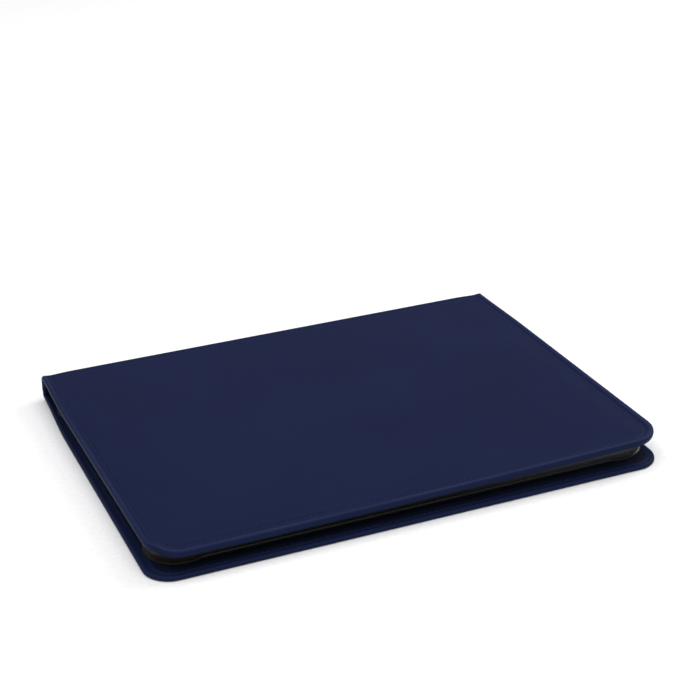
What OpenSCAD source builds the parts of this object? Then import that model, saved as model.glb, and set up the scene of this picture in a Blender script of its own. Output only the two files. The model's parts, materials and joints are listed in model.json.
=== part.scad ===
// Folio keyboard case for a 10.5-inch-class tablet, closed and lying on its back cover.
// Origin: middle of the footprint at the underside of the back cover.
// +X runs along the spine, +Y towards the spine, +Z up.

/* [Tablet] */
// Width of the tablet that the tray holds
tablet_w = 250.6; // [230:0.2:280]
// Depth of the tablet that the tray holds
tablet_d = 174.1; // [168:0.1:216]
// Thickness of the tablet
tablet_t = 6.1; // [5:0.1:8]
// Corner radius of the tablet
tablet_r = 12; // [8:0.5:18]
// Clearance between the tablet and the tray on each side
tablet_fit = 0.3; // [0.1:0.05:0.8]

/* [Covers] */
// Thickness of the outer leather
leather_t = 0.9; // [0.7:0.1:1.4]
// Thickness of the stiffening board
board_t = 0.6; // [0.5:0.1:1.2]
// Thickness of the lining
lining_t = 0.3; // [0.2:0.1:0.6]
// Leather that stands out past the tray at each side
side_margin = 4.3; // [3.5:0.1:14]
// Leather that stands out past the tray at the opening edge
front_margin = 8.2; // [3.5:0.1:14]
// Space between the tray and the spine
rear_gap = 8.4; // [4.5:0.1:12]
// How far the back cover stands out past the keyboard cover at the opening edge
front_reveal = 2.4; // [0:0.1:4]
// How far the back cover stands out past the keyboard cover at each side
side_reveal = 0.6; // [0:0.1:4]
// Corner radius at the opening edge
corner_r = 16; // [8:0.5:20]
// Corner radius at the spine
spine_corner_r = 3.5; // [2:0.5:6]
// Rounding of the turned leather edge
edge_r = 0.8; // [0.3:0.1:0.9]
// Width of the leather turned over the boards
rim_w = 5; // [4:0.1:6.5]
// Running clearance beside each fold
fold_gap = 0.3; // [0.3:0.1:1]
// Distance from the spine's outer face to the fold line of the back cover
flap_d = 50; // [40:1:60]
// Width of the soft line between the two back boards
flap_fold_w = 2.5; // [1.5:0.1:4]

/* [Tray] */
// Thickness of the tray's walls
tray_wall = 1.2; // [0.9:0.1:2]
// Thickness of the tray's floor
tray_floor = 0.6; // [0.5:0.1:1.2]
// Thickness of the felt pad
pad_t = 0.3; // [0.2:0.1:0.6]
// Length of each corner grip along the edge
grip_len = 16; // [13:0.5:22]
// Length of the slope between a grip and the low wall
ramp_len = 6; // [3:0.5:10]
// Height of the low wall above the tray's floor
low_wall_h = 3.6; // [2:0.1:4.5]
// How far each grip hooks over the tablet's glass
lip_w = 1.2; // [0.6:0.1:1.4]
// Thickness of that hook
lip_t = 0.6; // [0.5:0.1:1]
// Clearance under the hook
lip_gap = 0.1; // [0.05:0.05:0.3]
// Width of the notch for the charging port of the tablet
port_notch_w = 16; // [12:0.5:24]
// Width of the camera opening
camera_w = 34; // [26:0.5:40]
// Corner radius of the camera opening
camera_r = 9; // [5:0.5:12]
// Distance from the tablet's edges to the camera opening
camera_inset = 6; // [5:0.5:10]
// Wall of the frame that lines the camera opening
trim_wall = 0.8; // [0.6:0.1:1.2]

/* [Keyboard] */
// Clearance between the keys and the tablet's glass
glass_gap = 0.2; // [0.2:0.1:0.6]
// How far the keyboard's housing stands in from the tray's outside
kb_inset = 0.8; // [0.3:0.1:2]
// Plain border of the deck at each side of the keys, above the grip hooks
kb_side_border = 8.1; // [7:0.1:12]
// Plain border of the deck in front of the keys, above the grip hooks
kb_front_border = 6.6; // [6:0.1:10]
// Plain border of the deck behind the keys
kb_border = 2.6; // [2.2:0.1:5]
// Corner radius of the keyboard housing at its back
kb_corner = 2.5; // [1:0.1:4]
// Depth of one row of keys
row_pitch = 17; // [15.5:0.1:17.5]
// Depth of the function row
fn_row_d = 10; // [8:0.1:12]
// Depth of the control bar behind the keys
bar_d = 13; // [12.6:0.1:16]
// Gap between neighbouring keys
key_gap = 2; // [1.9:0.1:2.6]
// Corner cut of a key
key_corner = 1.1; // [0.5:0.1:1.6]
// Travel of a key
key_travel = 1; // [0.6:0.1:1.4]
// Height of a key's top above the deck
key_stand = 0.75; // [0.5:0.05:1.2]
// Clearance between a key and the deck
key_fit = 0.35; // [0.3:0.05:0.4]
// How far a key's flange reaches out under the deck
flange_out = 0.75; // [0.6:0.05:0.8]
// Thickness of that flange
flange_t = 0.4; // [0.3:0.05:0.6]
// Wall of a hollow key
key_wall = 0.9; // [0.7:0.05:1.1]
// Roof of a hollow key
key_roof = 0.6; // [0.5:0.05:0.7]
// Thickness of the deck
deck_t = 0.5; // [0.4:0.05:0.8]
// Thickness of the base's floor
base_floor = 0.5; // [0.4:0.05:0.8]
// Wall of the base and of the control bar
housing_wall = 1; // [0.8:0.05:1.2]
// Thickness of the contact membrane
membrane_t = 0.25; // [0.15:0.05:0.4]
// Thickness of the rubber dome sheet
dome_sheet_t = 0.1; // [0.1:0.05:0.15]
// Height of a collapsed rubber dome
dome_h = 0.9; // [0.5:0.05:1]
// Radius of a rubber dome
dome_r = 1.9; // [1.2:0.1:2]

/* [Controls] */
// Thickness of the circuit board
pcb_t = 0.6; // [0.4:0.1:0.8]
// Length of the circuit board
pcb_len = 70; // [66:1:90]
// Length of the battery cell
battery_len = 130; // [60:1:140]
// Thickness of the battery cell
battery_t = 2.2; // [1.2:0.1:2.4]
// Distance of the power switch from the socket's end of the bar
slider_place = 24; // [22:0.5:26]
// Distance of the pairing button from the power switch
button_place = 13; // [12:0.5:15]
// Length of the power switch's knob
slider_len = 4.5; // [3:0.1:6]
// Width of the power switch's knob
slider_w = 2.2; // [1.6:0.1:3]
// Travel of the power switch
slider_travel = 2.5; // [1.5:0.1:3]
// Width of the pairing button
button_w = 3.4; // [2.4:0.1:4.5]
// Travel of the pairing button
button_travel = 0.3; // [0.2:0.05:0.4]
// Clearance round the power switch and the pairing button
control_fit = 0.2; // [0.15:0.05:0.3]
// Width of the charging socket
socket_w = 9; // [8:0.1:9.5]
// Height of the charging socket
socket_h = 2.2; // [1.8:0.05:2.25]
// Length of the charging socket
socket_len = 6.5; // [5:0.1:8]
// Wall of the charging socket
socket_wall = 0.3; // [0.2:0.05:0.4]
// Space between the circuit board and the middle screw
mid_screw_gap = 18; // [12:1:24]
// Radius of a housing screw's shank
screw_r = 0.6; // [0.5:0.05:0.8]
// Radius of a rubber bumper
bumper_r = 0.9; // [0.6:0.05:1]
// Height of a rubber bumper above the keys
bumper_stand = 0.12; // [0.05:0.01:0.18]

/* [Stand] */
// Space between the control bar and the stand rail
rail_gap = 12; // [6:0.5:18]
// Width of the channel that takes the tray's edge
channel_w = 9.4; // [8.5:0.1:11]
// Width of each ridge beside the channel
ridge_w = 2.2; // [1.5:0.1:3]
// Height of each ridge above the rail's base
ridge_h = 1.8; // [1:0.1:2.4]
// Thickness of the rail's base
rail_base_t = 0.6; // [0.4:0.1:1]
// Length of one bar magnet
magnet_len = 24; // [12:1:30]
// Width of one bar magnet
magnet_w = 3; // [2:0.1:4]

/* [Hidden] */
$fn = 64;
// Overrun of a cut past the face it opens
OVER = 1;

// Colours
NAVY = "#1b2240";
LINING = "#2b2d35";
BLACK = "#17181a";
GREY = "#6f7378";
STEEL = "#9a9ea3";
BOARD = "#8b7a5c";

// Widths across the case
tray_w = tablet_w + 2 * (tablet_fit + tray_wall);
tray_d = tablet_d + 2 * (tablet_fit + tray_wall);
lid_w = tray_w + 2 * side_margin;
back_w = lid_w + 2 * side_reveal;
tray_r = tablet_r + tablet_fit + tray_wall;

// Heights from the table up
cover_t = leather_t + board_t + lining_t;
z_tray = cover_t;
z_pad = z_tray + tray_floor;
z_tablet = z_pad + pad_t;
z_glass = z_tablet + tablet_t;
z_lip = z_glass + lip_gap;
z_tray_top = z_lip + lip_t;
z_keys = z_glass + glass_gap;

// Heights inside the keyboard, from the lining of its cover outwards
PRESS_CLEARANCE = 0.05;
h_membrane = base_floor;
h_domes = h_membrane + membrane_t;
h_key_pressed = h_domes + dome_sheet_t + PRESS_CLEARANCE;
h_key = h_key_pressed + key_travel;
h_deck = h_key + flange_t + PRESS_CLEARANCE;
h_deck_top = h_deck + deck_t;
kb_h = h_deck_top + key_stand;
z_lid = z_keys + kb_h;
case_t = z_lid + cover_t;

// Places along the depth
case_d = front_reveal + front_margin + tray_d + rear_gap + cover_t;
y_back_front = -case_d / 2;
y_lid_front = y_back_front + front_reveal;
y_spine = case_d / 2;
y_fold = y_spine - cover_t / 2;
y_cover_end = y_fold - cover_t / 2 - fold_gap;
y_flap = y_spine - flap_d;
y_tray = y_lid_front + front_margin;
y_bay = y_tray + tray_wall;
tray_mid = y_tray + tray_d / 2;
z_fold_low = cover_t / 2;
z_fold_high = case_t - cover_t / 2;

// Spine pocket, between the two folds
spine_pocket_h = case_t - 3 * cover_t;

// Camera opening, behind one corner of the tablet
camera_x = tablet_w / 2 - camera_inset - camera_w / 2;
camera_y = y_bay + tablet_fit + camera_inset + camera_w / 2;
camera_cut_w = camera_w + 2 * trim_wall;
camera_cut_r = camera_r + trim_wall;

// Keyboard, in the frame of its cover: x as the case, y towards the opening edge, z off the lining
ROW_UNITS = 14.5;
FUNCTION_ROW = 5;
FUNCTION_KEYS = 14;
kb_w = tray_w - 2 * kb_inset;
kb_d = kb_front_border + FUNCTION_ROW * row_pitch + fn_row_d + kb_border + bar_d;
kb_front_r = tray_r - kb_inset;
kb_front = -(y_tray + kb_inset);
kb_back = kb_front - kb_d;
key_pitch = (kb_w - 2 * kb_side_border) / ROW_UNITS;
field_w = key_pitch * ROW_UNITS;
bumper_x = field_w / 2 - bumper_r;
bar_front = kb_back + bar_d;
bar_mid = kb_back + bar_d / 2;

// Each run of keys: node, row from the front, first column, key width and count in key pitches,
// and the share of the row's depth that it takes, counted from the front
RUNS = [
    ["function_keys", FUNCTION_ROW, 0, ROW_UNITS / FUNCTION_KEYS, FUNCTION_KEYS, 0, 1],
    ["number_keys", 4, 0, 1, 13, 0, 1],
    ["backspace_key", 4, 13, 1.5, 1, 0, 1],
    ["tab_key", 3, 0, 1.5, 1, 0, 1],
    ["upper_letter_keys", 3, 1.5, 1, 13, 0, 1],
    ["caps_key", 2, 0, 1.75, 1, 0, 1],
    ["home_letter_keys", 2, 1.75, 1, 11, 0, 1],
    ["return_key", 2, 12.75, 1.75, 1, 0, 1],
    ["left_shift_key", 1, 0, 2.25, 1, 0, 1],
    ["lower_letter_keys", 1, 2.25, 1, 10, 0, 1],
    ["right_shift_key", 1, 12.25, 2.25, 1, 0, 1],
    ["fn_key", 0, 0, 1, 1, 0, 1],
    ["control_key", 0, 1, 1, 1, 0, 1],
    ["left_option_key", 0, 2, 1, 1, 0, 1],
    ["left_command_key", 0, 3, 1.25, 1, 0, 1],
    ["space_bar", 0, 4.25, 5, 1, 0, 1],
    ["right_command_key", 0, 9.25, 1.25, 1, 0, 1],
    ["right_option_key", 0, 10.5, 1, 1, 0, 1],
    ["left_arrow_key", 0, 11.5, 1, 1, 0, 1],
    ["up_arrow_key", 0, 12.5, 1, 1, 0.5, 1],
    ["down_arrow_key", 0, 12.5, 1, 1, 0, 0.5],
    ["right_arrow_key", 0, 13.5, 1, 1, 0, 1]
];

function row_start(row) = kb_front - kb_front_border - row * row_pitch;
function row_depth(row) = row == FUNCTION_ROW ? fn_row_d : row_pitch;

// Stand rail, behind the control bar
rail_w = channel_w + 2 * ridge_w;
rail_mid = kb_back - rail_gap - rail_w / 2;
RAIL_MAGNETS = 6;
rail_magnet_pitch = kb_w / RAIL_MAGNETS;
CLOSURE_MAGNETS = 4;
closure_pitch = (lid_w - 2 * corner_r) / CLOSURE_MAGNETS;
closure_inset = rim_w + magnet_w / 2 + 0.4;

// Controls, counted from the socket's end of the bar
bar_h = kb_h;
bar_roof = 0.6;
bar_in_d = bar_d - 2 * housing_wall;
h_pcb_top = base_floor + pcb_t;
socket_end = -kb_w / 2;
SOCKET_SINK = 0.2;
socket_mid_h = base_floor + (bar_h - bar_roof - base_floor) / 2;
pcb_end = socket_end + SOCKET_SINK + socket_len + 0.3;
slider_x = socket_end + slider_place;
button_x = slider_x + button_place;
lights_x = button_x + 9;
LIGHTS = 3;
light_pitch = 3;
light_w = 1.2;
CONTROL_FLANGE = 0.6;
control_flange_t = 0.45;
h_control_flange = bar_h - bar_roof - PRESS_CLEARANCE - control_flange_t;
control_sink = 0.05;
battery_x = pcb_end + pcb_len + 3 + battery_len / 2;
screw_boss_r = 3 * screw_r;
screw_head_r = 2.2 * screw_r;
screw_head_t = 0.3;
h_screw_split = h_deck;
// How far each screw boss is sunk into the bar's front wall
BOSS_SINK = 0.4;
screw_y = bar_front - housing_wall - screw_boss_r + BOSS_SINK;
screw_xs = [
    pcb_end + screw_boss_r + 4,
    pcb_end + pcb_len + mid_screw_gap,
    -socket_end - housing_wall - screw_boss_r - 1
];

// ---------------------------------------------------------------- shared shapes

// Flat outline with its own corner radius at each end
module cover_outline(w, y0, y1, r0, r1) {
    polygon([
        [-w / 2 + r0, y0], [w / 2 - r0, y0], [w / 2, y0 + r0], [w / 2, y1 - r1],
        [w / 2 - r1, y1], [-w / 2 + r1, y1], [-w / 2, y1 - r1], [-w / 2, y0 + r0]
    ]);
    for (side = [-1, 1]) {
        translate([side * (w / 2 - r0), y0 + r0]) circle(r0);
        translate([side * (w / 2 - r1), y1 - r1]) circle(r1);
    }
}

module cover_plate(w, y0, y1, r0, r1, z, t) {
    translate([0, 0, z])
        linear_extrude(t)
            cover_outline(w, y0, y1, r0, r1);
}

// Disc with a rounded rim, the corner of a leather cover
module rim_disc(r, t, e) {
    rotate_extrude($fn = 64)
        polygon(concat(
            [[0, 0]],
            [for (a = [-90 : 30 : 0]) [r - e + e * cos(a), e + e * sin(a)]],
            [for (a = [0 : 30 : 90]) [r - e + e * cos(a), t - e + e * sin(a)]],
            [[0, t]]
        ));
}

// Leather cover with softly turned edges
module soft_plate(w, y0, y1, r0, r1, z, t) {
    translate([0, 0, z])
        hull()
            for (side = [-1, 1]) {
                translate([side * (w / 2 - r0), y0 + r0, 0]) rim_disc(r0, t, edge_r);
                translate([side * (w / 2 - r1), y1 - r1, 0]) rim_disc(r1, t, edge_r);
            }
}

// Rectangle with cut corners
module cut_rect(w, d, c) {
    polygon([
        [-w / 2 + c, -d / 2], [w / 2 - c, -d / 2], [w / 2, -d / 2 + c], [w / 2, d / 2 - c],
        [w / 2 - c, d / 2], [-w / 2 + c, d / 2], [-w / 2, d / 2 - c], [-w / 2, -d / 2 + c]
    ]);
}

// Square hole with round corners
module rounded_square(w, r) {
    square([w, w - 2 * r], center = true);
    square([w - 2 * r, w], center = true);
    for (sx = [-1, 1], sy = [-1, 1])
        translate([sx * (w / 2 - r), sy * (w / 2 - r)]) circle(r);
}

module camera_prism(w, r, z0, z1) {
    translate([camera_x, camera_y, z0])
        linear_extrude(z1 - z0)
            rounded_square(w, r);
}

// Places children in the frame of the keyboard cover
module in_lid() {
    translate([0, 0, z_lid])
        rotate([180, 0, 0])
            children();
}

// Outline of everything inside the turned rim of a cover
module inside_rim(w, y0, z, t) {
    cover_plate(w - 2 * rim_w, y0 + rim_w, y_cover_end - rim_w, corner_r - rim_w,
        spine_corner_r / 2, z, t);
}

// ---------------------------------------------------------------- back cover

module back_leather() {
    color(NAVY)
        difference() {
            soft_plate(back_w, y_back_front, y_cover_end, corner_r, spine_corner_r, 0, cover_t);
            inside_rim(back_w, y_back_front, leather_t, cover_t);
            camera_prism(camera_cut_w, camera_cut_r, -OVER, cover_t + OVER);
        }
}

module back_magnet_bars() {
    for (i = [0 : CLOSURE_MAGNETS - 1])
        translate([
            (i - (CLOSURE_MAGNETS - 1) / 2) * closure_pitch - magnet_len / 2,
            y_back_front + closure_inset - magnet_w / 2,
            leather_t
        ])
            cube([magnet_len, magnet_w, board_t]);
}

module back_board() {
    color(BOARD)
        difference() {
            intersection() {
                inside_rim(back_w, y_back_front, leather_t, board_t);
                translate([-back_w / 2, y_back_front, 0])
                    cube([back_w, y_flap - flap_fold_w / 2 - y_back_front, cover_t]);
            }
            camera_prism(camera_cut_w, camera_cut_r, 0, cover_t);
            back_magnet_bars();
        }
}

module flap_board() {
    color(BOARD)
        intersection() {
            inside_rim(back_w, y_back_front, leather_t, board_t);
            translate([-back_w / 2, y_flap + flap_fold_w / 2, 0])
                cube([back_w, flap_d, cover_t]);
        }
}

module back_lining() {
    color(LINING)
        difference() {
            inside_rim(back_w, y_back_front, leather_t + board_t, lining_t);
            camera_prism(camera_cut_w, camera_cut_r, 0, cover_t + OVER);
        }
}

module back_magnets() {
    color(STEEL) back_magnet_bars();
}

module camera_trim() {
    color(BLACK)
        difference() {
            camera_prism(camera_cut_w, camera_cut_r, leather_t / 4, cover_t);
            camera_prism(camera_w, camera_r, -OVER, cover_t + OVER);
        }
}

// ---------------------------------------------------------------- tray

// Height profile of the space between two grips: low in the middle, rising in an S at both ends
module between_grips(length, depth) {
    RAMP_STEPS = 8;
    half = length / 2 - grip_len;
    low = z_pad + low_wall_h;
    high = z_tray_top + OVER;
    ramp = [for (i = [0 : RAMP_STEPS])
        [half - ramp_len + ramp_len * i / RAMP_STEPS,
            low + (z_tray_top - low) * (1 - cos(180 * i / RAMP_STEPS)) / 2]];
    rotate([90, 0, 0])
        translate([0, 0, -depth / 2])
            linear_extrude(depth)
                polygon(concat(
                    ramp,
                    [[half, high], [-half, high]],
                    [for (i = [RAMP_STEPS : -1 : 0]) [-ramp[i][0], ramp[i][1]]]
                ));
}

module tray_plate(inset, z, t) {
    cover_plate(tray_w - 2 * inset, y_tray + inset, y_tray + tray_d - inset,
        tray_r - inset, tray_r - inset, z, t);
}

// Everything of the tray that stands on its base
module tray_rim() {
    color(BLACK)
        difference() {
            tray_plate(0, z_pad, z_tray_top - z_pad);
            tray_plate(tray_wall, z_pad - OVER, z_lip - z_pad + OVER);
            tray_plate(tray_wall + lip_w, z_lip - OVER, lip_t + 2 * OVER);
            translate([0, tray_mid, 0]) between_grips(tray_w, tray_d + 2 * OVER);
            translate([0, tray_mid, 0]) rotate([0, 0, 90]) between_grips(tray_d, tray_w + 2 * OVER);
        }
}

// The space between the feet of the grips, across the tray both ways
module between_corners() {
    foot = grip_len + ramp_len;
    h = z_tray_top - z_tray + 2 * OVER;
    translate([foot - tray_w / 2, y_tray - OVER, z_tray - OVER])
        cube([tray_w - 2 * foot, tray_d + 2 * OVER, h]);
    translate([-tray_w / 2 - OVER, y_tray + foot, z_tray - OVER])
        cube([tray_w + 2 * OVER, tray_d - 2 * foot, h]);
}

module tray_base() {
    color(BLACK)
        difference() {
            tray_plate(0, z_tray, tray_floor);
            camera_prism(camera_w, camera_r, 0, z_tablet);
        }
}

module tray_walls() {
    color(BLACK)
        difference() {
            intersection() {
                tray_rim();
                between_corners();
            }
            translate([tray_w / 2 - tray_wall - OVER, tray_mid - port_notch_w / 2, z_pad + pad_t])
                cube([tray_wall + 2 * OVER, port_notch_w, low_wall_h + OVER]);
        }
}

module corner_grips() {
    color(BLACK)
        difference() {
            tray_rim();
            between_corners();
        }
}

module tray_pad() {
    color(LINING)
        difference() {
            tray_plate(tray_wall, z_pad, pad_t);
            camera_prism(camera_w, camera_r, 0, z_tablet + OVER);
        }
}

// ---------------------------------------------------------------- spine

// Strip whose two long edges are rounded about the fold lines
module spine_leather() {
    color(NAVY)
        difference() {
            translate([-lid_w / 2, 0, 0])
                rotate([90, 0, 90])
                    linear_extrude(lid_w) {
                        translate([y_fold, z_fold_low]) circle(cover_t / 2);
                        translate([y_fold, z_fold_high]) circle(cover_t / 2);
                        translate([y_fold - cover_t / 2, z_fold_low])
                            square([cover_t, z_fold_high - z_fold_low]);
                    }
            spine_layer(-OVER, board_t + lining_t + OVER);
        }
}

// Layer of the spine, counted from its inner face outwards
module spine_layer(depth0, t) {
    translate([
        -lid_w / 2 + rim_w,
        y_fold - cover_t / 2 + depth0,
        (case_t - spine_pocket_h) / 2
    ])
        cube([lid_w - 2 * rim_w, t, spine_pocket_h]);
}

module spine_board() {
    color(BOARD) spine_layer(lining_t, board_t);
}

module spine_lining() {
    color(LINING) spine_layer(0, lining_t);
}

// ---------------------------------------------------------------- keyboard cover

module lid_leather() {
    color(NAVY)
        difference() {
            soft_plate(lid_w, y_lid_front, y_cover_end, corner_r, spine_corner_r, z_lid, cover_t);
            inside_rim(lid_w, y_lid_front, z_lid - OVER, lining_t + board_t + OVER);
        }
}

module lid_magnet_bars() {
    for (i = [0 : CLOSURE_MAGNETS - 1])
        translate([
            (i - (CLOSURE_MAGNETS - 1) / 2) * closure_pitch - magnet_len / 2,
            y_lid_front + closure_inset - magnet_w / 2,
            z_lid + lining_t
        ])
            cube([magnet_len, magnet_w, board_t]);
}

module rail_magnet_bars() {
    for (i = [0 : RAIL_MAGNETS - 1])
        in_lid()
            translate([
                (i - (RAIL_MAGNETS - 1) / 2) * rail_magnet_pitch - magnet_len / 2,
                rail_mid - magnet_w / 2,
                -lining_t - board_t
            ])
                cube([magnet_len, magnet_w, board_t]);
}

module lid_board() {
    color(BOARD)
        difference() {
            inside_rim(lid_w, y_lid_front, z_lid + lining_t, board_t);
            lid_magnet_bars();
            rail_magnet_bars();
        }
}

module lid_lining() {
    color(LINING) inside_rim(lid_w, y_lid_front, z_lid, lining_t);
}

module lid_magnets() {
    color(STEEL) lid_magnet_bars();
}

module rail_magnets() {
    color(STEEL) rail_magnet_bars();
}

module stand_rail() {
    color(BLACK)
        in_lid()
            translate([-kb_w / 2, rail_mid - rail_w / 2, 0])
                difference() {
                    cube([kb_w, rail_w, rail_base_t + ridge_h]);
                    translate([-OVER, ridge_w, rail_base_t])
                        cube([kb_w + 2 * OVER, channel_w, ridge_h + OVER]);
                }
}

// ---------------------------------------------------------------- keyboard housing

// Outline of the key field, up to the control bar
module field_outline(inset, corner) {
    cover_outline(kb_w - 2 * inset, bar_front + inset, kb_front - inset, corner, kb_front_r - inset);
}

module housing_outline(inset, corner) {
    cover_outline(kb_w - 2 * inset, kb_back + inset, kb_front - inset, corner, kb_front_r - inset);
}

module bar_outline(inset) {
    translate([-kb_w / 2 + inset, kb_back + inset])
        square([kb_w - 2 * inset, bar_d - 2 * inset]);
}

module at_screws() {
    for (x = screw_xs)
        translate([x, screw_y, 0])
            children();
}

module socket_prism(grow, x0, length) {
    w = socket_w + 2 * grow;
    h = socket_h + 2 * grow;
    corner = h / 4;
    translate([x0, bar_mid, socket_mid_h])
        rotate([90, 0, 90])
            linear_extrude(length)
                cut_rect(w, h, corner);
}

module keyboard_base() {
    color(BLACK)
        in_lid()
            difference() {
                union() {
                    linear_extrude(base_floor) housing_outline(0, kb_corner);
                    linear_extrude(h_deck)
                        difference() {
                            housing_outline(0, kb_corner);
                            housing_outline(housing_wall, kb_corner / 2);
                        }
                    at_screws() cylinder(r = screw_boss_r, h = h_screw_split);
                }
                at_screws() translate([0, 0, -OVER]) cylinder(r = screw_r + 0.1, h = case_t);
                at_screws() translate([0, 0, -OVER]) cylinder(r = screw_head_r + 0.1, h = OVER + screw_head_t);
                socket_prism(0.1, socket_end - OVER, housing_wall + 2 * OVER);
            }
}

// Calls the children at the middle of each key of a run, with the key's cell size
module over_run(run) {
    row = run[1];
    cell_d = (run[6] - run[5]) * row_depth(row);
    cell_y = row_start(row) - (run[5] + run[6]) / 2 * row_depth(row);
    for (i = [0 : run[4] - 1])
        translate([field_w / 2 - (run[2] + (i + 0.5) * run[3]) * key_pitch, cell_y, 0]) {
            $cell_w = run[3] * key_pitch;
            $cell_d = cell_d;
            children();
        }
}

module keyboard_deck() {
    color(BLACK)
        in_lid()
            translate([0, 0, h_deck])
                difference() {
                    linear_extrude(deck_t) field_outline(0, kb_corner);
                    for (run = RUNS)
                        over_run(run)
                            translate([0, 0, -OVER])
                                linear_extrude(deck_t + 2 * OVER)
                                    cut_rect($cell_w - key_gap + 2 * key_fit,
                                        $cell_d - key_gap + 2 * key_fit, key_corner);
                }
}

module slider_slot(grow, h0, h1) {
    translate([
        slider_x - slider_len / 2 - grow,
        bar_mid - slider_w / 2 - grow,
        h0
    ])
        cube([slider_len + slider_travel + 2 * grow, slider_w + 2 * grow, h1 - h0]);
}

module button_prism(grow, h0, h1) {
    translate([button_x, bar_mid, h0])
        linear_extrude(h1 - h0)
            cut_rect(button_w + 2 * grow, button_w + 2 * grow, button_w / 4);
}

module light_bars(h0, h1) {
    for (i = [0 : LIGHTS - 1])
        translate([lights_x + i * light_pitch - light_w / 2, bar_mid - light_w / 2, h0])
            cube([light_w, light_w, h1 - h0]);
}

module control_bar() {
    color(BLACK)
        in_lid()
            difference() {
                union() {
                    difference() {
                        translate([0, 0, h_deck]) linear_extrude(bar_h - h_deck) bar_outline(0);
                        translate([0, 0, h_deck - OVER])
                            linear_extrude(bar_h - bar_roof - h_deck + OVER)
                                bar_outline(housing_wall);
                    }
                    at_screws()
                        translate([0, 0, h_screw_split])
                            cylinder(r = screw_boss_r, h = bar_h - h_screw_split);
                }
                at_screws()
                    translate([0, 0, h_screw_split - OVER])
                        cylinder(r = screw_r + PRESS_CLEARANCE, h = bar_h - bar_roof - h_screw_split + OVER);
                socket_prism(0.1, socket_end - OVER, housing_wall + 2 * OVER);
                slider_slot(control_fit, h_deck, bar_h + OVER);
                button_prism(control_fit, h_deck, bar_h + OVER);
                light_bars(h_deck, bar_h + OVER);
            }
}

// ---------------------------------------------------------------- inside the keyboard

module membrane_sheet() {
    color("#b9bcc0")
        in_lid()
            translate([0, 0, h_membrane])
                linear_extrude(membrane_t)
                    field_outline(housing_wall + 0.3, kb_corner / 2);
}

module dome_sheet() {
    color("#4a4d52")
        in_lid()
            translate([0, 0, h_domes]) {
                linear_extrude(dome_sheet_t) field_outline(housing_wall + 0.3, kb_corner / 2);
                for (run = RUNS)
                    over_run(run)
                        cylinder(r = dome_r, h = dome_sheet_t + dome_h, $fn = 8);
            }
}

module battery_cell() {
    color("#3b3f45")
        in_lid()
            translate([battery_x - battery_len / 2, bar_mid - bar_in_d / 2 + 0.4, base_floor])
                cube([battery_len, bar_in_d - 2 * screw_boss_r - 0.8, battery_t]);
}

module circuit_board() {
    color("#14532d")
        in_lid()
            difference() {
                translate([pcb_end, bar_mid - bar_in_d / 2 + 0.3, base_floor])
                    cube([pcb_len, bar_in_d - 0.6, pcb_t]);
                at_screws() cylinder(r = screw_boss_r + 0.1, h = case_t);
            }
}

module board_parts() {
    switch_h = h_control_flange - PRESS_CLEARANCE - h_pcb_top;
    button_switch_h = switch_h - button_travel;
    chip_len = 8;
    chip_w = 5;
    chip_t = 0.9;
    color("#202225")
        in_lid()
            translate([0, bar_mid, h_pcb_top]) {
                translate([slider_x - slider_len / 2, -slider_w / 2, 0])
                    cube([slider_len + slider_travel, slider_w, switch_h]);
                translate([button_x - button_w / 2, -button_w / 2, 0])
                    cube([button_w, button_w, button_switch_h]);
                for (i = [1, 2])
                    translate([pcb_end + pcb_len - i * (chip_len + 2), -chip_w / 2, 0])
                        cube([chip_len, chip_w, chip_t]);
            }
}

module charge_port() {
    tongue_w = socket_w - 2.4;
    tongue_t = 0.7;
    tongue_len = socket_len - 1.5;
    color(STEEL)
        in_lid() {
            difference() {
                socket_prism(0, socket_end + SOCKET_SINK, socket_len);
                socket_prism(-socket_wall, socket_end - OVER, socket_len + OVER - 0.6);
            }
            translate([socket_end + socket_len - 0.4 - tongue_len, bar_mid - tongue_w / 2, socket_mid_h - tongue_t / 2])
                cube([tongue_len, tongue_w, tongue_t]);
        }
}

module status_lights() {
    color("#dfe4e8") in_lid() light_bars(h_pcb_top, bar_h);
}

module housing_screws() {
    color(STEEL)
        in_lid()
            at_screws() {
                cylinder(r = screw_head_r, h = screw_head_t);
                cylinder(r = screw_r, h = bar_h - bar_roof - 0.2);
            }
}

module rubber_bumpers() {
    color("#101113")
        in_lid()
            for (side = [-1, 1]) {
                translate([side * bumper_x, row_start(0) + kb_border / 2, h_deck_top])
                    cylinder(r = bumper_r, h = kb_h - h_deck_top + bumper_stand);
                translate([side * bumper_x, bar_mid, bar_h])
                    cylinder(r = bumper_r, h = bumper_stand);
            }
}

module power_slider() {
    top = bar_h - control_sink;
    color(GREY)
        in_lid()
            translate([slider_x, bar_mid, 0]) {
                translate([-slider_len / 2, -slider_w / 2, h_control_flange])
                    cube([slider_len, slider_w, top - h_control_flange]);
                translate([-slider_len / 2 - CONTROL_FLANGE, -slider_w / 2 - CONTROL_FLANGE, h_control_flange])
                    cube([slider_len + 2 * CONTROL_FLANGE, slider_w + 2 * CONTROL_FLANGE, control_flange_t]);
            }
}

module pairing_button() {
    color(GREY)
        in_lid() {
            button_prism(0, h_control_flange, bar_h - control_sink);
            button_prism(CONTROL_FLANGE, h_control_flange, h_control_flange + control_flange_t);
        }
}

// ---------------------------------------------------------------- keys

// Hollow cap that stands through the deck and is held by a flange under it
module key_cap(cell_w, cell_d) {
    w = cell_w - key_gap;
    d = cell_d - key_gap;
    difference() {
        union() {
            translate([0, 0, h_key]) linear_extrude(kb_h - h_key) cut_rect(w, d, key_corner);
            translate([-w / 2 - flange_out, -d / 2 - flange_out, h_key])
                cube([w + 2 * flange_out, d + 2 * flange_out, flange_t]);
        }
        translate([-w / 2 + key_wall, -d / 2 + key_wall, h_key - OVER])
            cube([w - 2 * key_wall, d - 2 * key_wall, kb_h - key_roof - h_key + OVER]);
    }
}

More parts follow.
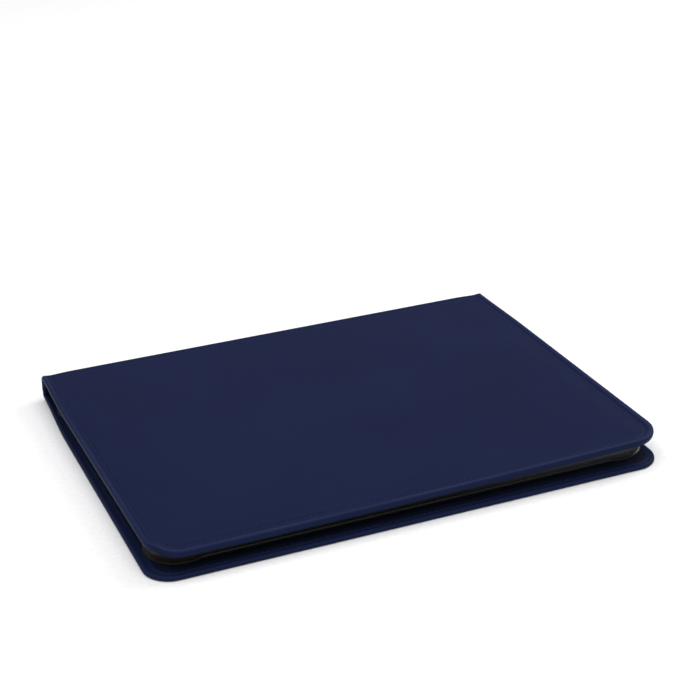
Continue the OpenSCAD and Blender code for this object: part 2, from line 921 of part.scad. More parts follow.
module key_run(name) {
    color(BLACK)
        in_lid()
            for (run = RUNS)
                if (run[0] == name)
                    over_run(run) key_cap($cell_w, $cell_d);
}

module function_keys() { key_run("function_keys"); }
module number_keys() { key_run("number_keys"); }
module backspace_key() { key_run("backspace_key"); }
module tab_key() { key_run("tab_key"); }
module upper_letter_keys() { key_run("upper_letter_keys"); }
module caps_key() { key_run("caps_key"); }
module home_letter_keys() { key_run("home_letter_keys"); }
module return_key() { key_run("return_key"); }
module left_shift_key() { key_run("left_shift_key"); }
module lower_letter_keys() { key_run("lower_letter_keys"); }
module right_shift_key() { key_run("right_shift_key"); }
module fn_key() { key_run("fn_key"); }
module control_key() { key_run("control_key"); }
module left_option_key() { key_run("left_option_key"); }
module left_command_key() { key_run("left_command_key"); }
module space_bar() { key_run("space_bar"); }
module right_command_key() { key_run("right_command_key"); }
module right_option_key() { key_run("right_option_key"); }
module left_arrow_key() { key_run("left_arrow_key"); }
module up_arrow_key() { key_run("up_arrow_key"); }
module down_arrow_key() { key_run("down_arrow_key"); }
module right_arrow_key() { key_run("right_arrow_key"); }

back_leather();
back_board();
flap_board();
back_lining();
back_magnets();
camera_trim();
tray_base();
tray_walls();
corner_grips();
tray_pad();
spine_leather();
spine_board();
spine_lining();
lid_leather();
lid_board();
lid_lining();
lid_magnets();
stand_rail();
rail_magnets();
keyboard_base();
keyboard_deck();
control_bar();
membrane_sheet();
dome_sheet();
battery_cell();
circuit_board();
board_parts();
charge_port();
status_lights();
housing_screws();
rubber_bumpers();
power_slider();
pairing_button();
function_keys();
number_keys();
backspace_key();
tab_key();
upper_letter_keys();
caps_key();
home_letter_keys();
return_key();
left_shift_key();
lower_letter_keys();
right_shift_key();
fn_key();
control_key();
left_option_key();
left_command_key();
space_bar();
right_command_key();
right_option_key();
left_arrow_key();
up_arrow_key();
down_arrow_key();
right_arrow_key();
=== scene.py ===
"""Looks of a folio keyboard case: leather covers, a soft spine, a tablet tray, a keyboard."""

from __future__ import annotations

import json
import logging
import math
from dataclasses import dataclass
from enum import Enum
from typing import Sequence

import bmesh
import bpy
from mathutils import Matrix, Vector


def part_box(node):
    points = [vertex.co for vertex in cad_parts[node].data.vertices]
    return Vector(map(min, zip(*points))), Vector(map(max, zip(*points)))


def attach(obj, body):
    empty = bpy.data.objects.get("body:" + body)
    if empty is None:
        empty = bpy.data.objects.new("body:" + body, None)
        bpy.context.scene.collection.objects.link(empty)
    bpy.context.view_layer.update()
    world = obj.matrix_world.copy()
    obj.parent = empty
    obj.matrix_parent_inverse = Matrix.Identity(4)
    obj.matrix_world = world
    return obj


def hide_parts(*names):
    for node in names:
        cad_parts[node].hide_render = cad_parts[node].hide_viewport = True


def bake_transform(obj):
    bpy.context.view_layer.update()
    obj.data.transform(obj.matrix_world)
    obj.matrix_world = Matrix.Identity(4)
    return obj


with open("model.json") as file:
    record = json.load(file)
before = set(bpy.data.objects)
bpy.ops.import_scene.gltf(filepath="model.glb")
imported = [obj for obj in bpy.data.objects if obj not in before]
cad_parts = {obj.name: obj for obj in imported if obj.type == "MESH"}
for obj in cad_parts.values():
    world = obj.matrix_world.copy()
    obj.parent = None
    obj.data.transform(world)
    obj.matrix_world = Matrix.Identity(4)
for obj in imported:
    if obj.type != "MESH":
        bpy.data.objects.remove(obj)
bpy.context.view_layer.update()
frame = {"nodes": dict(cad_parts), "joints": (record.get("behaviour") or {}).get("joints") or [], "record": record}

MM = 0.001
DOUBLE = 0.001 * MM
FLAT = math.radians(1.0)
QUARTER = math.pi / 2
LOG = logging.getLogger("folio")

Colour = tuple[float, float, float]
Point = tuple[float, float, float]
Tree = bpy.types.NodeTree
Socket = bpy.types.NodeSocket


# ---------------------------------------------------------------- small helpers


def clamp(value: float) -> float:
    """Limits a value to the range from 0 to 1."""
    return max(0.0, min(1.0, value))


def ease(value: float) -> float:
    """Runs smoothly from 0 to 1 as the value does."""
    t = clamp(value)
    return t * t * (3 - 2 * t)


def spread(start: float, end: float, count: int) -> list[float]:
    """Evenly spaced values.

    Args:
        start: The first value.
        end: The last value.
        count: How many values there are.

    Returns:
        The values from start to end, both included.
    """
    return [start + (end - start) * i / (count - 1) for i in range(count)]


def add_node(
    tree: Tree, kind: str, inputs: dict | None = None, **settings: object
) -> bpy.types.Node:
    """Adds a node and fills its inputs.

    Args:
        tree: The node tree that takes the node.
        kind: Blender's name for the node's type.
        inputs: For each input, by name or number, a value or the socket that feeds it.
        **settings: The node's own settings.

    Returns:
        The new node.
    """
    node = tree.nodes.new(kind)
    for name, value in settings.items():
        setattr(node, name, value)
    for key, value in (inputs or {}).items():
        if isinstance(value, bpy.types.NodeSocket):
            tree.links.new(value, node.inputs[key])
        else:
            node.inputs[key].default_value = value
    return node


def wire(
    tree: Tree, kind: str, outlet: str | int, inputs: dict | None = None, **settings: object
) -> Socket:
    """Adds a node, as add_node() does, and returns its output of that name or number."""
    return add_node(tree, kind, inputs, **settings).outputs[outlet]


def maths(tree: Tree, operation: str, first: Socket, second: Socket | float) -> Socket:
    """Adds a node that reckons with two values and returns its result."""
    return wire(tree, "ShaderNodeMath", 0, {0: first, 1: second}, operation=operation)


# ---------------------------------------------------------------- finishes


class Surface(Enum):
    """The ways that a surface is broken up close to."""

    GRAIN = "fine leather grain"
    NAP = "short brushed nap"
    MOULDED = "spark-eroded plastic"
    BRUSHED = "drawn metal"
    PULPED = "pressed grey board"
    FILM = "smooth film"
    TWIST = "twisted thread"


@dataclass(frozen=True)
class Finish:
    """One material of the case.

    Colours are linear, cells and drift are counts to the metre, and relief is in metres.
    """

    name: str
    surface: Surface
    colour: Colour
    second: Colour
    roughness: float
    spread: float = 0.06
    cells: float = 900.0
    drift: float = 25.0
    relief: float = 0.05 * MM
    metallic: float = 0.0
    sheen: float = 0.0
    coat: float = 0.0
    specular: float = 0.5
    transmission: float = 0.0
    # Colour that a per-point mask mixes in: scuffed edges and painted highlight lines on the leather, a painted
    # reflection on the tray wall.
    lit_and_worn: Colour | None = None
    sheen_roughness: float = 0.45
    coat_roughness: float = 0.25

    def material(self) -> bpy.types.Material:
        """Returns the material, and makes it the first time."""
        look = self.name + "_look"
        made = bpy.data.materials.get(look)
        if made is not None:
            return made
        material = bpy.data.materials.new(look)
        material.use_nodes = True
        material.diffuse_color = (*self.colour, 1.0)
        tree = material.node_tree
        tree.nodes.clear()
        coords = wire(tree, "ShaderNodeTexCoord", "Object")
        height = self._height(tree, coords)
        noise = {"Vector": coords, "Scale": self.drift, "Detail": 3.0}
        slow = wire(tree, "ShaderNodeTexNoise", "Fac", noise)
        relief = {"Height": height, "Distance": self.relief, "Strength": 1.0}
        shader = add_node(
            tree,
            "ShaderNodeBsdfPrincipled",
            {
                "Base Color": self._tone(tree, slow, height),
                "Roughness": self._gloss(tree, slow, height),
                "Normal": wire(tree, "ShaderNodeBump", "Normal", relief),
                "Metallic": self.metallic,
                "Specular IOR Level": self.specular,
                "Sheen Weight": self.sheen,
                "Sheen Roughness": self.sheen_roughness,
                "Coat Weight": self.coat,
                "Coat Roughness": self.coat_roughness,
                "Transmission Weight": self.transmission,
            },
        )
        add_node(tree, "ShaderNodeOutputMaterial", {"Surface": shader.outputs["BSDF"]})
        return material

    def _height(self, tree: Tree, coords: Socket) -> Socket:
        """Builds the close-up relief of the surface.

        Args:
            tree: The material's node tree.
            coords: The object coordinates.

        Returns:
            A socket with the height, from about 0 to 1.
        """
        stretch = (0.04, 1.0, 1.0) if self.surface is Surface.BRUSHED else (1.0, 1.0, 1.0)
        placed = wire(tree, "ShaderNodeMapping", "Vector", {"Vector": coords, "Scale": stretch})
        fine = wire(
            tree, "ShaderNodeTexNoise", "Fac",
            {"Vector": placed, "Scale": self.cells * 1.7, "Detail": 4.0, "Roughness": 0.6},
        )
        if self.surface is Surface.GRAIN:
            warped = wire(
                tree, "ShaderNodeTexNoise", "Color",
                {"Vector": placed, "Scale": self.cells * 0.35, "Detail": 2.0},
            )
            bend = {"Factor": 0.0006, 4: placed, 5: warped}
            bent = wire(tree, "ShaderNodeMix", 1, bend, data_type="VECTOR")
            pores = wire(
                tree, "ShaderNodeTexVoronoi", "Distance",
                {"Vector": bent, "Scale": self.cells, "Randomness": 0.9},
                feature="DISTANCE_TO_EDGE",
            )
            pebble = wire(tree, "ShaderNodeMapRange", "Result", {"Value": pores, "From Max": 0.22})
            return self._blend(tree, pebble, fine, share=0.45)
        if self.surface in (Surface.MOULDED, Surface.PULPED):
            pits = wire(
                tree, "ShaderNodeTexVoronoi", "Distance",
                {"Vector": placed, "Scale": self.cells, "Smoothness": 0.7},
                feature="SMOOTH_F1",
            )
            return self._blend(tree, pits, fine, share=0.5)
        if self.surface is Surface.TWIST:
            strands = wire(
                tree, "ShaderNodeTexWave", "Fac",
                {"Vector": placed, "Scale": self.cells, "Distortion": 1.5},
                bands_direction="DIAGONAL",
            )
            return self._blend(tree, strands, fine, share=0.35)
        return fine

    @staticmethod
    def _blend(tree: Tree, first: Socket, second: Socket, share: float) -> Socket:
        """Mixes two heights.

        Args:
            tree: The material's node tree.
            first: The height that leads.
            second: The height that breaks it up.
            share: The share of the second height.

        Returns:
            The mixed height.
        """
        return wire(tree, "ShaderNodeMix", 0, {"Factor": share, 2: first, 3: second})

    def _tone(self, tree: Tree, slow: Socket, height: Socket) -> Socket:
        """Builds the colour: a slow drift, darker pits and, where a per-point mask says so, lighter scuffed edges
        and painted highlight lines on leather, and a painted reflection on the tray wall.

        Args:
            tree: The material's node tree.
            slow: The slow noise over the piece.
            height: The close-up relief.

        Returns:
            The colour socket.
        """
        drift = wire(
            tree, "ShaderNodeMapRange", "Result",
            {"Value": slow, "From Min": 0.3, "From Max": 0.7},
        )
        tones = {"Factor": drift, 6: (*self.colour, 1.0), 7: (*self.second, 1.0)}
        base = wire(tree, "ShaderNodeMix", 2, tones, data_type="RGBA")
        pits = wire(
            tree, "ShaderNodeMapRange", "Result",
            {"Value": height, "From Max": 0.5, "To Min": 0.82, "To Max": 1.0},
        )
        shade = {0: base, "Scale": pits}
        shaded = wire(tree, "ShaderNodeVectorMath", "Vector", shade, operation="SCALE")
        if self.lit_and_worn is None:
            return shaded
        # The per-point mask mixes in the lighter colour: scuffing and painted highlight lines on the leather, a
        # painted reflection on the upper tray wall.
        wear = wire(tree, "ShaderNodeAttribute", "Fac", attribute_name="wear")
        patchy = maths(tree, "MULTIPLY", wear, slow)
        rubbed_and_lit = {"Factor": patchy, 6: shaded, 7: (*self.lit_and_worn, 1.0)}
        return wire(tree, "ShaderNodeMix", 2, rubbed_and_lit, data_type="RGBA")

    def _gloss(self, tree: Tree, slow: Socket, height: Socket) -> Socket:
        """Builds the roughness, which drifts slowly and is duller in the pits.

        Args:
            tree: The material's node tree.
            slow: The slow noise over the piece.
            height: The close-up relief.

        Returns:
            The roughness socket.
        """
        return wire(
            tree, "ShaderNodeMapRange", "Result",
            {
                "Value": self._blend(tree, slow, height, share=0.4),
                "From Min": 0.25,
                "From Max": 0.75,
                "To Min": self.roughness + self.spread,
                "To Max": self.roughness - self.spread,
            },
        )


# The leather's lighter colour is for its scuffed lip and for the painted highlight line along the turned edge.
LEATHER = Finish(
    "navy_leather", Surface.GRAIN, (0.0074, 0.0119, 0.0435), (0.0065, 0.0105, 0.0390), 0.42,
    spread=0.05, cells=1150.0, drift=18.0, relief=0.035 * MM, specular=0.03,
    lit_and_worn=(0.026, 0.038, 0.094),
)
THREAD = Finish(
    "navy_thread", Surface.TWIST, (0.0200, 0.0270, 0.0660), (0.0160, 0.0220, 0.0560), 0.6,
    cells=2600.0, relief=0.03 * MM, specular=0.05,
)
MICROFIBRE = Finish(
    "microfibre_lining", Surface.NAP, (0.0050, 0.0078, 0.0250), (0.0068, 0.0102, 0.0310), 0.9,
    cells=2400.0, drift=40.0, relief=0.05 * MM, sheen=0.03, specular=0.05,
)
FELT = Finish(
    "tray_felt", Surface.NAP, (0.016, 0.016, 0.018), (0.024, 0.024, 0.027), 0.95,
    cells=1500.0, drift=60.0, relief=0.08 * MM, sheen=0.3, specular=0.15,
)
# The tray's lighter colour is a painted reflection of the light on the upper wall, stronger towards the right.
TRAY = Finish(
    "tray_polycarbonate", Surface.MOULDED, (0.0150, 0.0145, 0.0110), (0.0185, 0.0180, 0.0140), 0.36,
    cells=2600.0, drift=14.0, relief=0.008 * MM, coat=0.08, lit_and_worn=(0.058, 0.062, 0.082),
)
HOUSING = Finish(
    "housing_plastic", Surface.MOULDED, (0.0400, 0.0420, 0.0520), (0.0470, 0.0490, 0.0600), 0.42,
    cells=3000.0, relief=0.012 * MM,
)
KEYCAP = Finish(
    "keycap_plastic", Surface.MOULDED, (0.0085, 0.0085, 0.0092), (0.0115, 0.0115, 0.0122), 0.42,
    cells=3600.0, drift=50.0, relief=0.008 * MM,
)
CONTROL = Finish(
    "control_plastic", Surface.MOULDED, (0.055, 0.056, 0.060), (0.070, 0.071, 0.076), 0.36,
    cells=4000.0, relief=0.006 * MM,
)
BOARD = Finish(
    "grey_board", Surface.PULPED, (0.33, 0.28, 0.21), (0.26, 0.22, 0.165), 0.9,
    cells=1400.0, relief=0.04 * MM, specular=0.2,
)
STEEL = Finish(
    "nickel_steel", Surface.BRUSHED, (0.56, 0.56, 0.57), (0.48, 0.48, 0.50), 0.3,
    cells=3000.0, relief=0.004 * MM, metallic=1.0,
)
BLACK_STEEL = Finish(
    "blackened_steel", Surface.BRUSHED, (0.060, 0.060, 0.064), (0.045, 0.045, 0.048), 0.38,
    cells=4000.0, relief=0.004 * MM, metallic=1.0,
)
RUBBER = Finish(
    "bumper_rubber", Surface.NAP, (0.012, 0.012, 0.012), (0.016, 0.016, 0.016), 0.8,
    cells=3000.0, relief=0.01 * MM, specular=0.3,
)
SILICONE = Finish(
    "dome_silicone", Surface.FILM, (0.07, 0.075, 0.08), (0.09, 0.095, 0.10), 0.6,
    cells=900.0, relief=0.01 * MM,
)
FILM = Finish(
    "contact_film", Surface.FILM, (0.46, 0.47, 0.50), (0.40, 0.41, 0.44), 0.4,
    cells=400.0, relief=0.006 * MM,
)
FOIL = Finish(
    "cell_foil", Surface.FILM, (0.30, 0.31, 0.33), (0.24, 0.25, 0.27), 0.35,
    cells=500.0, relief=0.02 * MM, metallic=0.8,
)
LAMINATE = Finish(
    "circuit_laminate", Surface.FILM, (0.012, 0.085, 0.035), (0.010, 0.070, 0.030), 0.3,
    cells=1200.0, relief=0.01 * MM, coat=0.4,
)
CHIP = Finish(
    "component_epoxy", Surface.MOULDED, (0.012, 0.012, 0.013), (0.017, 0.017, 0.018), 0.55,
    cells=5000.0, relief=0.01 * MM,
)
PIPE = Finish(
    "light_pipe", Surface.FILM, (0.80, 0.83, 0.86), (0.74, 0.77, 0.80), 0.2,
    cells=2000.0, relief=0.002 * MM, transmission=0.5,
)


def dress(node: str, finish: Finish) -> None:
    """Gives a construction node its finish.

    Args:
        node: The node's name.
        finish: The finish that it takes.
    """
    piece = frame["nodes"][node]
    if not piece.material_slots:
        piece.data.materials.append(None)
    for slot in piece.material_slots:
        slot.material = finish.material()


# ---------------------------------------------------------------- meshes


class Draft:
    """Points and faces gathered before they become one mesh."""

    def __init__(self) -> None:
        """Starts empty."""
        self.points: list[Point] = []
        self.wear: list[float] = []
        self.faces: list[tuple[int, ...]] = []

    def add(self, point: Point, wear: float = 0.0) -> int:
        """Adds a point.

        Args:
            point: Its place, in metres.
            wear: How much the surface is lightened there, from 0 to 1: by scuffing and painted highlights on the
                leather, by a painted reflection on the tray wall.

        Returns:
            The point's number.
        """
        self.points.append(point)
        self.wear.append(wear)
        return len(self.points) - 1

    def face(self, *corners: int) -> None:
        """Adds a face, without the corners that it would repeat."""
        kept = [c for i, c in enumerate(corners) if c != corners[i - 1]]
        if len(set(kept)) > 2:
            self.faces.append(tuple(kept))

    def strip(self, first: Sequence[int], second: Sequence[int], closed: bool = False) -> None:
        """Joins two rows of points with a strip of faces.

        Args:
            first: One row of point numbers.
            second: The other row, as long as the first.
            closed: Whether the last points join the first ones.
        """
        count = len(first)
        for i in range(count if closed else count - 1):
            j = (i + 1) % count
            self.face(first[i], first[j], second[j], second[i])

    def build(self, name: str, finish: Finish, sharp: float = 40.0) -> bpy.types.Object:
        """Makes the mesh object, with its faces turned outwards.

        Args:
            name: The piece's name.
            finish: The finish that it takes.
            sharp: The angle in degrees past which an edge stays sharp.

        Returns:
            The new object, at the origin.
        """
        mesh = bpy.data.meshes.new(name)
        mesh.from_pydata(self.points, [], self.faces)
        # Stores the per-point lightening: scuffing, painted highlights and painted reflection.
        wear = mesh.attributes.new("wear", "FLOAT", "POINT")
        wear.data.foreach_set("value", self.wear)
        shape = bmesh.new()
        shape.from_mesh(mesh)
        bmesh.ops.recalc_face_normals(shape, faces=shape.faces)
        shape.to_mesh(mesh)
        shape.free()
        return finish_mesh(name, mesh, finish, sharp)


def put(name: str, data: bpy.types.ID) -> bpy.types.Object:
    """Makes an object of some data and links it to the scene."""
    made = bpy.data.objects.new(name, data)
    bpy.context.scene.collection.objects.link(made)
    return made


def settled(piece: bpy.types.Object) -> bpy.types.Mesh:
    """Returns a plain mesh of the piece with its modifiers applied."""
    graph = bpy.context.evaluated_depsgraph_get()
    return bpy.data.meshes.new_from_object(piece.evaluated_get(graph))


def weld(shape: bmesh.types.BMesh) -> None:
    """Merges doubled points and joins the triangles of each flat face."""
    bmesh.ops.remove_doubles(shape, verts=shape.verts, dist=DOUBLE)
    bmesh.ops.dissolve_limit(shape, angle_limit=FLAT, verts=shape.verts, edges=shape.edges)


def round_box(
    low: Vector, high: Vector, inset: float, radius: float, steps: int
) -> list[tuple[float, float]]:
    """Walks round a rectangle with round corners.

    Args:
        low: The lowest corner of the box that holds it.
        high: The highest corner of that box.
        inset: How far the rectangle lies inside the box.
        radius: The corners' radius.
        steps: The steps of each corner.

    Returns:
        The points as (x, y).
    """
    points = []
    for quarter, (sx, sy) in enumerate(((1, 1), (-1, 1), (-1, -1), (1, -1))):
        x = (high.x - inset if sx > 0 else low.x + inset) - sx * radius
        y = (high.y - inset if sy > 0 else low.y + inset) - sy * radius
        for step in range(steps + 1):
            a = QUARTER * (quarter + step / steps)
            points.append((x + radius * math.cos(a), y + radius * math.sin(a)))
    return points


def finish_mesh(
    name: str, mesh: bpy.types.Mesh, finish: Finish, sharp: float
) -> bpy.types.Object:
    """Makes a smooth-shaded object of a mesh.

    Args:
        name: The object's name.
        mesh: The mesh that it shows.
        finish: The finish that it takes.
        sharp: The angle in degrees past which an edge stays sharp.

    Returns:
        The new object, linked to the scene.
    """
    mesh.materials.clear()
    mesh.materials.append(finish.material())
    mesh.shade_smooth()
    mesh.set_sharp_from_angle(angle=math.radians(sharp))
    return put(name, mesh)


def hand_over(piece: bpy.types.Object, body: str, slot: str, *nodes: str) -> None:
    """Lets a finished piece ride on its body in place of the nodes that it stands for.

    Args:
        piece: The finished piece.
        body: The body that it moves with.
        slot: The record's material slot; not used.
        *nodes: The nodes that it replaces.
    """
    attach(piece, body)
    if nodes:
        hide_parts(*nodes)
    LOG.info("%s: %d faces on %s", piece.name, len(piece.data.polygons), body)


@dataclass(frozen=True)
class Softener:
    """Copies a construction node with its sharp edges broken, as a mould or a file leaves them."""

    width: float = 0.15 * MM
    segments: int = 2
    angle: float = 35.0
    sharp: float = 30.0

    def apply(self, name: str, body: str, slot: str, finish: Finish, *nodes: str) -> None:
        """Makes the softened copy and lets it stand for the nodes.

        Args:
            name: The new piece's name.
            body: The body that it moves with.
            slot: The record's material slot.
            finish: The finish that it takes.
            *nodes: The nodes that are copied and joined.
        """
        drafts = [self._copy(node) for node in nodes]
        for other in drafts[1:]:
            union = drafts[0].modifiers.new(other.name, "BOOLEAN")
            union.object = other
            union.operation = "UNION"
            union.solver = "EXACT"
        mesh = settled(drafts[0])
        for draft in drafts:
            bpy.data.objects.remove(draft)
        self._merge(mesh)
        whole = put(name + "_draft", mesh)
        bevel = whole.modifiers.new("edges", "BEVEL")
        bevel.width = self.width
        bevel.segments = self.segments
        bevel.limit_method = "ANGLE"
        bevel.angle_limit = math.radians(self.angle)
        made = settled(whole)
        bpy.data.objects.remove(whole)
        made.name = name
        piece = finish_mesh(name, made, finish, self.sharp)
        hand_over(piece, body, slot, *nodes)

    @staticmethod
    def _merge(mesh: bpy.types.Mesh) -> None:
        """Welds a mesh in place."""
        shape = bmesh.new()
        shape.from_mesh(mesh)
        weld(shape)
        shape.to_mesh(mesh)
        shape.free()

    def _copy(self, node: str) -> bpy.types.Object:
        """Returns an object with a merged copy of a node's mesh."""
        mesh = frame["nodes"][node].data.copy()
        self._merge(mesh)
        return put(node + "_draft", mesh)


# ---------------------------------------------------------------- leather covers


@dataclass(frozen=True)
class TurnedEdge:
    """Leather turned over the edge of a cover, by distance in from that edge, in metres.

    TURNS are the degrees round the lip, and ROWS are the millimetres from the edge, at which
    the surface has a row of points. They crowd round the seam and the pocket's wall.
    """

    TURNS = (0, 25, 50, 72, 90)
    ROWS = (1.9, 2.7, 3.3, 3.65, 3.88, 4.1, 4.32, 4.55, 4.8, 4.985, 5.015, 5.8, 7.2, 9.2, 11.5)

    half: float
    bead_out: float
    bead_in: float
    crown: float
    lip: float = 1.2 * MM
    stitch: float = 4.1 * MM
    groove: float = 0.30 * MM
    groove_w: float = 0.42 * MM
    shoulder: float = 12.0 * MM
    rim: float = 5.0 * MM
    pocket: float = 0.9 * MM
    # Where and how wide the painted highlight line runs along the turned edge.
    highlight_ridge: float = 3.3 * MM
    highlight_ridge_w: float = 0.5 * MM
    rub: float = 2.2 * MM
    reach: float = 14.0 * MM

    def insets(self) -> list[float]:
        """Returns the distances from the edge at which the surface has a row of points."""
        turn = [self.lip * (1 - math.cos(math.radians(a))) for a in self.TURNS]
        return turn + [v * MM for v in self.ROWS] + [self.reach]

    def _lip(self, inset: float, full: float) -> float:
        """Height of the rounded lip at the edge, where full is its height past the lip."""
        run = clamp(inset / self.lip)
        return full * math.sqrt(max(0.0, 1 - (1 - run) ** 2))

    def _seam(self, nearest: float) -> float:
        """Depth of the groove that the stitches pull into the leather."""
        return self.groove * math.exp(-(((nearest - self.stitch) / self.groove_w) ** 2))

    def outer(self, inset: float, nearest: float) -> float:
        """Height of the outer face above the middle of the cover.

        Args:
            inset: The distance from the turned edge.
            nearest: The distance from the turned edge or the fold, whichever is nearer.

        Returns:
            The height, in metres.
        """
        bead = self.bead_out * (1 - ease((inset - self.lip) / (self.rim - self.lip)))
        crown = self.crown * ease((inset - self.stitch) / self.shoulder)
        return self._lip(inset, self.half + bead + crown) - self._seam(nearest)

    def inner(self, inset: float, nearest: float, lined: bool) -> float:
        """Height of the inner face above the middle of the cover, as outer() gives it.

        Args:
            inset: The distance from the turned edge.
            nearest: The distance from the turned edge or the fold, whichever is nearer.
            lined: Whether the boards and the lining lie in the cover there.

        Returns:
            The height, in metres.
        """
        if lined:
            return self.half - self.pocket
        bead = self.bead_in * (1 - ease((inset - self.lip) / (self.rim - self.lip)))
        return self._lip(inset, self.half + bead) - 0.5 * self._seam(nearest)

    def wear(self, inset: float) -> float:
        """How much the leather is lightened at a distance from the edge, from 0 to 1: a little for its scuffed
        lip, and much along a painted highlight line.
        """
        # Lightening: a little for the scuffed lip, much along the painted highlight line.
        lip = 1 - ease(inset / self.rub)
        highlight_ridge = math.exp(-(((inset - self.highlight_ridge) / self.highlight_ridge_w) ** 2))
        return clamp(0.3 * lip + 0.9 * highlight_ridge)


@dataclass(frozen=True)
class SectionPoint:
    """One point of the leather's section across the spine."""

    x: float
    outer: float
    inner: float
    lift: float
    wear: float


class Cover:
    """A leather cover: a plate with a turned edge on three sides that runs on into the spine."""

    ARC = 14
    ROW_STEP = 5 * MM
    RADIUS = 16 * MM
    LINING_RADIUS = 17.5 * MM
    TAPER = 46 * MM
    COLUMNS = 48
    GRID_IN = 1 * MM
    GROOVE_ROWS = (0.65, 0.4, 0.2, 0.0, -0.2, -0.4, -0.65)
    WALL_ROW = 0.015 * MM
    SPINE_STEPS = 40
    SKEW = 0.0

    def __init__(
        self, node: str, edge: TurnedEdge, outward: int, seam: float, spine_x: float
    ) -> None:
        """Takes the cover's place from its node.

        Args:
            node: The leather's construction node.
            edge: The shape of its turned edge.
            outward: 1 if the outer face looks up, and -1 if it looks down.
            seam: Where the cover ends and its fold begins, along Y.
            spine_x: Half the width of the spine.
        """
        low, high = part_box(node)
        self.edge = edge
        self.outward = outward
        self.seam = seam
        self.spine_x = spine_x
        self.half_x = high.x
        self.front = low.y
        self.end = high.y
        self.mid_z = (low.z + high.z) / 2
        self.lined_end = self.end - edge.rim
        self.rows = self._rows()
        reach = self.half_x - self.RADIUS
        self.columns = spread(-reach, reach, self.COLUMNS)

    def _rows(self) -> list[float]:
        """Returns the places along Y that hold a row of points, from the seam to the corners."""
        stitch = self.end - self.edge.stitch
        fine = [stitch + v * MM for v in self.GROOVE_ROWS]
        fine += [self.lined_end + self.WALL_ROW, self.lined_end - self.WALL_ROW]
        start = min(fine) - 1.0 * MM
        stop = self.front + self.RADIUS
        plain = spread(start, stop, int((start - stop) / self.ROW_STEP))
        return sorted([self.seam, *fine, *plain], reverse=True)

    def half_width(self, y: float) -> float:
        """Half the cover's width at y: the sides run in to the spine's width near the fold."""
        run = ease((y - (self.seam - self.TAPER)) / self.TAPER)
        return self.half_x + (self.spine_x - self.half_x) * run

    def forward(self, y: float) -> float:
        """How far y lies on the way from the seam to the opening edge, from 0 to 1."""
        return clamp((self.seam - y) / (self.seam - self.front))

    def depth(self, x: float, y: float) -> float:
        """Measures how deep inside the cover a place lies.

        Args:
            x: Its place across the cover.
            y: Its place along the cover.

        Returns:
            The distance from the edge of the lining's outline, in metres.
        """
        across = self.half_x - self.LINING_RADIUS - abs(x)
        along = y - self.front - self.LINING_RADIUS
        if across < 0 and along < 0:
            return self.LINING_RADIUS - math.hypot(across, along)
        return min(self.half_width(y) - abs(x), y - self.front)

    def settle(self, x: float, y: float, inset: float) -> float:
        """How far the middle of the cover lies above its flat place, in metres."""
        return 0.0

    def swell(self, x: float, y: float, inset: float) -> float:
        """How far the outer face swells past its flat place, in metres."""
        return 0.0

    def outline(self, inset: float) -> list[tuple[float, float]]:
        """Walks the turned edge, from the seam round the opening edge and back to the seam.

        Args:
            inset: The distance in from the edge.

        Returns:
            The points as (x, y).
        """
        centre_x = self.half_x - self.RADIUS
        centre_y = self.front + self.RADIUS
        radius = self.RADIUS - inset
        left = [(inset - self.half_width(y), y) for y in self.rows]
        turn = [QUARTER * i / self.ARC for i in range(1, self.ARC)]
        near = [
            (-centre_x - radius * math.cos(a), centre_y - radius * math.sin(a)) for a in turn
        ]
        front = [(x, self.front + inset) for x in self.columns]
        mirrored = [(-x, y) for x, y in reversed(left + near)]
        return left + near + front + mirrored

    def place(self, x: float, y: float, inset: float, outer: bool) -> Point:
        """Places a point of the cover's surface.

        Args:
            x: Its place across the cover.
            y: Its place along the cover.
            inset: Its distance from the turned edge.
            outer: Whether it is on the outer face.

        Returns:
            The point, in metres.
        """
        nearest = min(inset, self.end - y)
        lined = min(inset, self.depth(x, y)) > self.edge.rim and y < self.lined_end
        height = (
            self.edge.outer(inset, nearest) + self.swell(x, y, inset)
            if outer
            else -self.edge.inner(inset, nearest, lined)
        )
        slip = self.SKEW * self.forward(y) * (1 - clamp(inset / self.edge.rim))
        return (x + slip, y, self.mid_z + self.outward * height + self.settle(x, y, inset))

    def _sheet(self, draft: Draft, outer: bool, rim: list[int]) -> list[int]:
        """Adds one face of the cover.

        Args:
            draft: The mesh that takes it.
            outer: Whether it is the outer face.
            rim: The points of the edge line, which both faces share.

        Returns:
            The points along the seam, from left to right.
        """
        rings = [rim]
        for inset in self.edge.insets()[1:]:
            lit_and_worn = self.edge.wear(inset)
            ring = [draft.add(self.place(x, y, inset, outer), lit_and_worn) for x, y in self.outline(inset)]
            rings.append(ring)
        for first, second in zip(rings, rings[1:]):
            draft.strip(first, second)
        deep = self.edge.reach + self.GRID_IN
        grid = [
            [draft.add(self.place(x, y, deep, outer)) for y in self.rows] for x in self.columns
        ]
        last, rows = rings[-1], len(self.rows)
        front_start = rows + self.ARC - 1
        front_end = front_start + len(self.columns)
        draft.strip(last[:rows], grid[0])
        for first, second in zip(grid, grid[1:]):
            draft.strip(first, second)
        draft.strip(grid[-1], last[-rows:][::-1])
        draft.strip([column[-1] for column in grid], last[front_start:front_end])
        corners = (
            (grid[0][-1], last[rows - 1 : front_start + 1]),
            (grid[-1][-1], last[front_end - 1 : len(last) - rows + 1]),
        )
        for centre, arc in corners:
            for a, b in zip(arc, arc[1:]):
                draft.face(centre, a, b)
        across = [ring[0] for ring in rings] + [column[0] for column in grid]
        return across + [ring[-1] for ring in reversed(rings)]

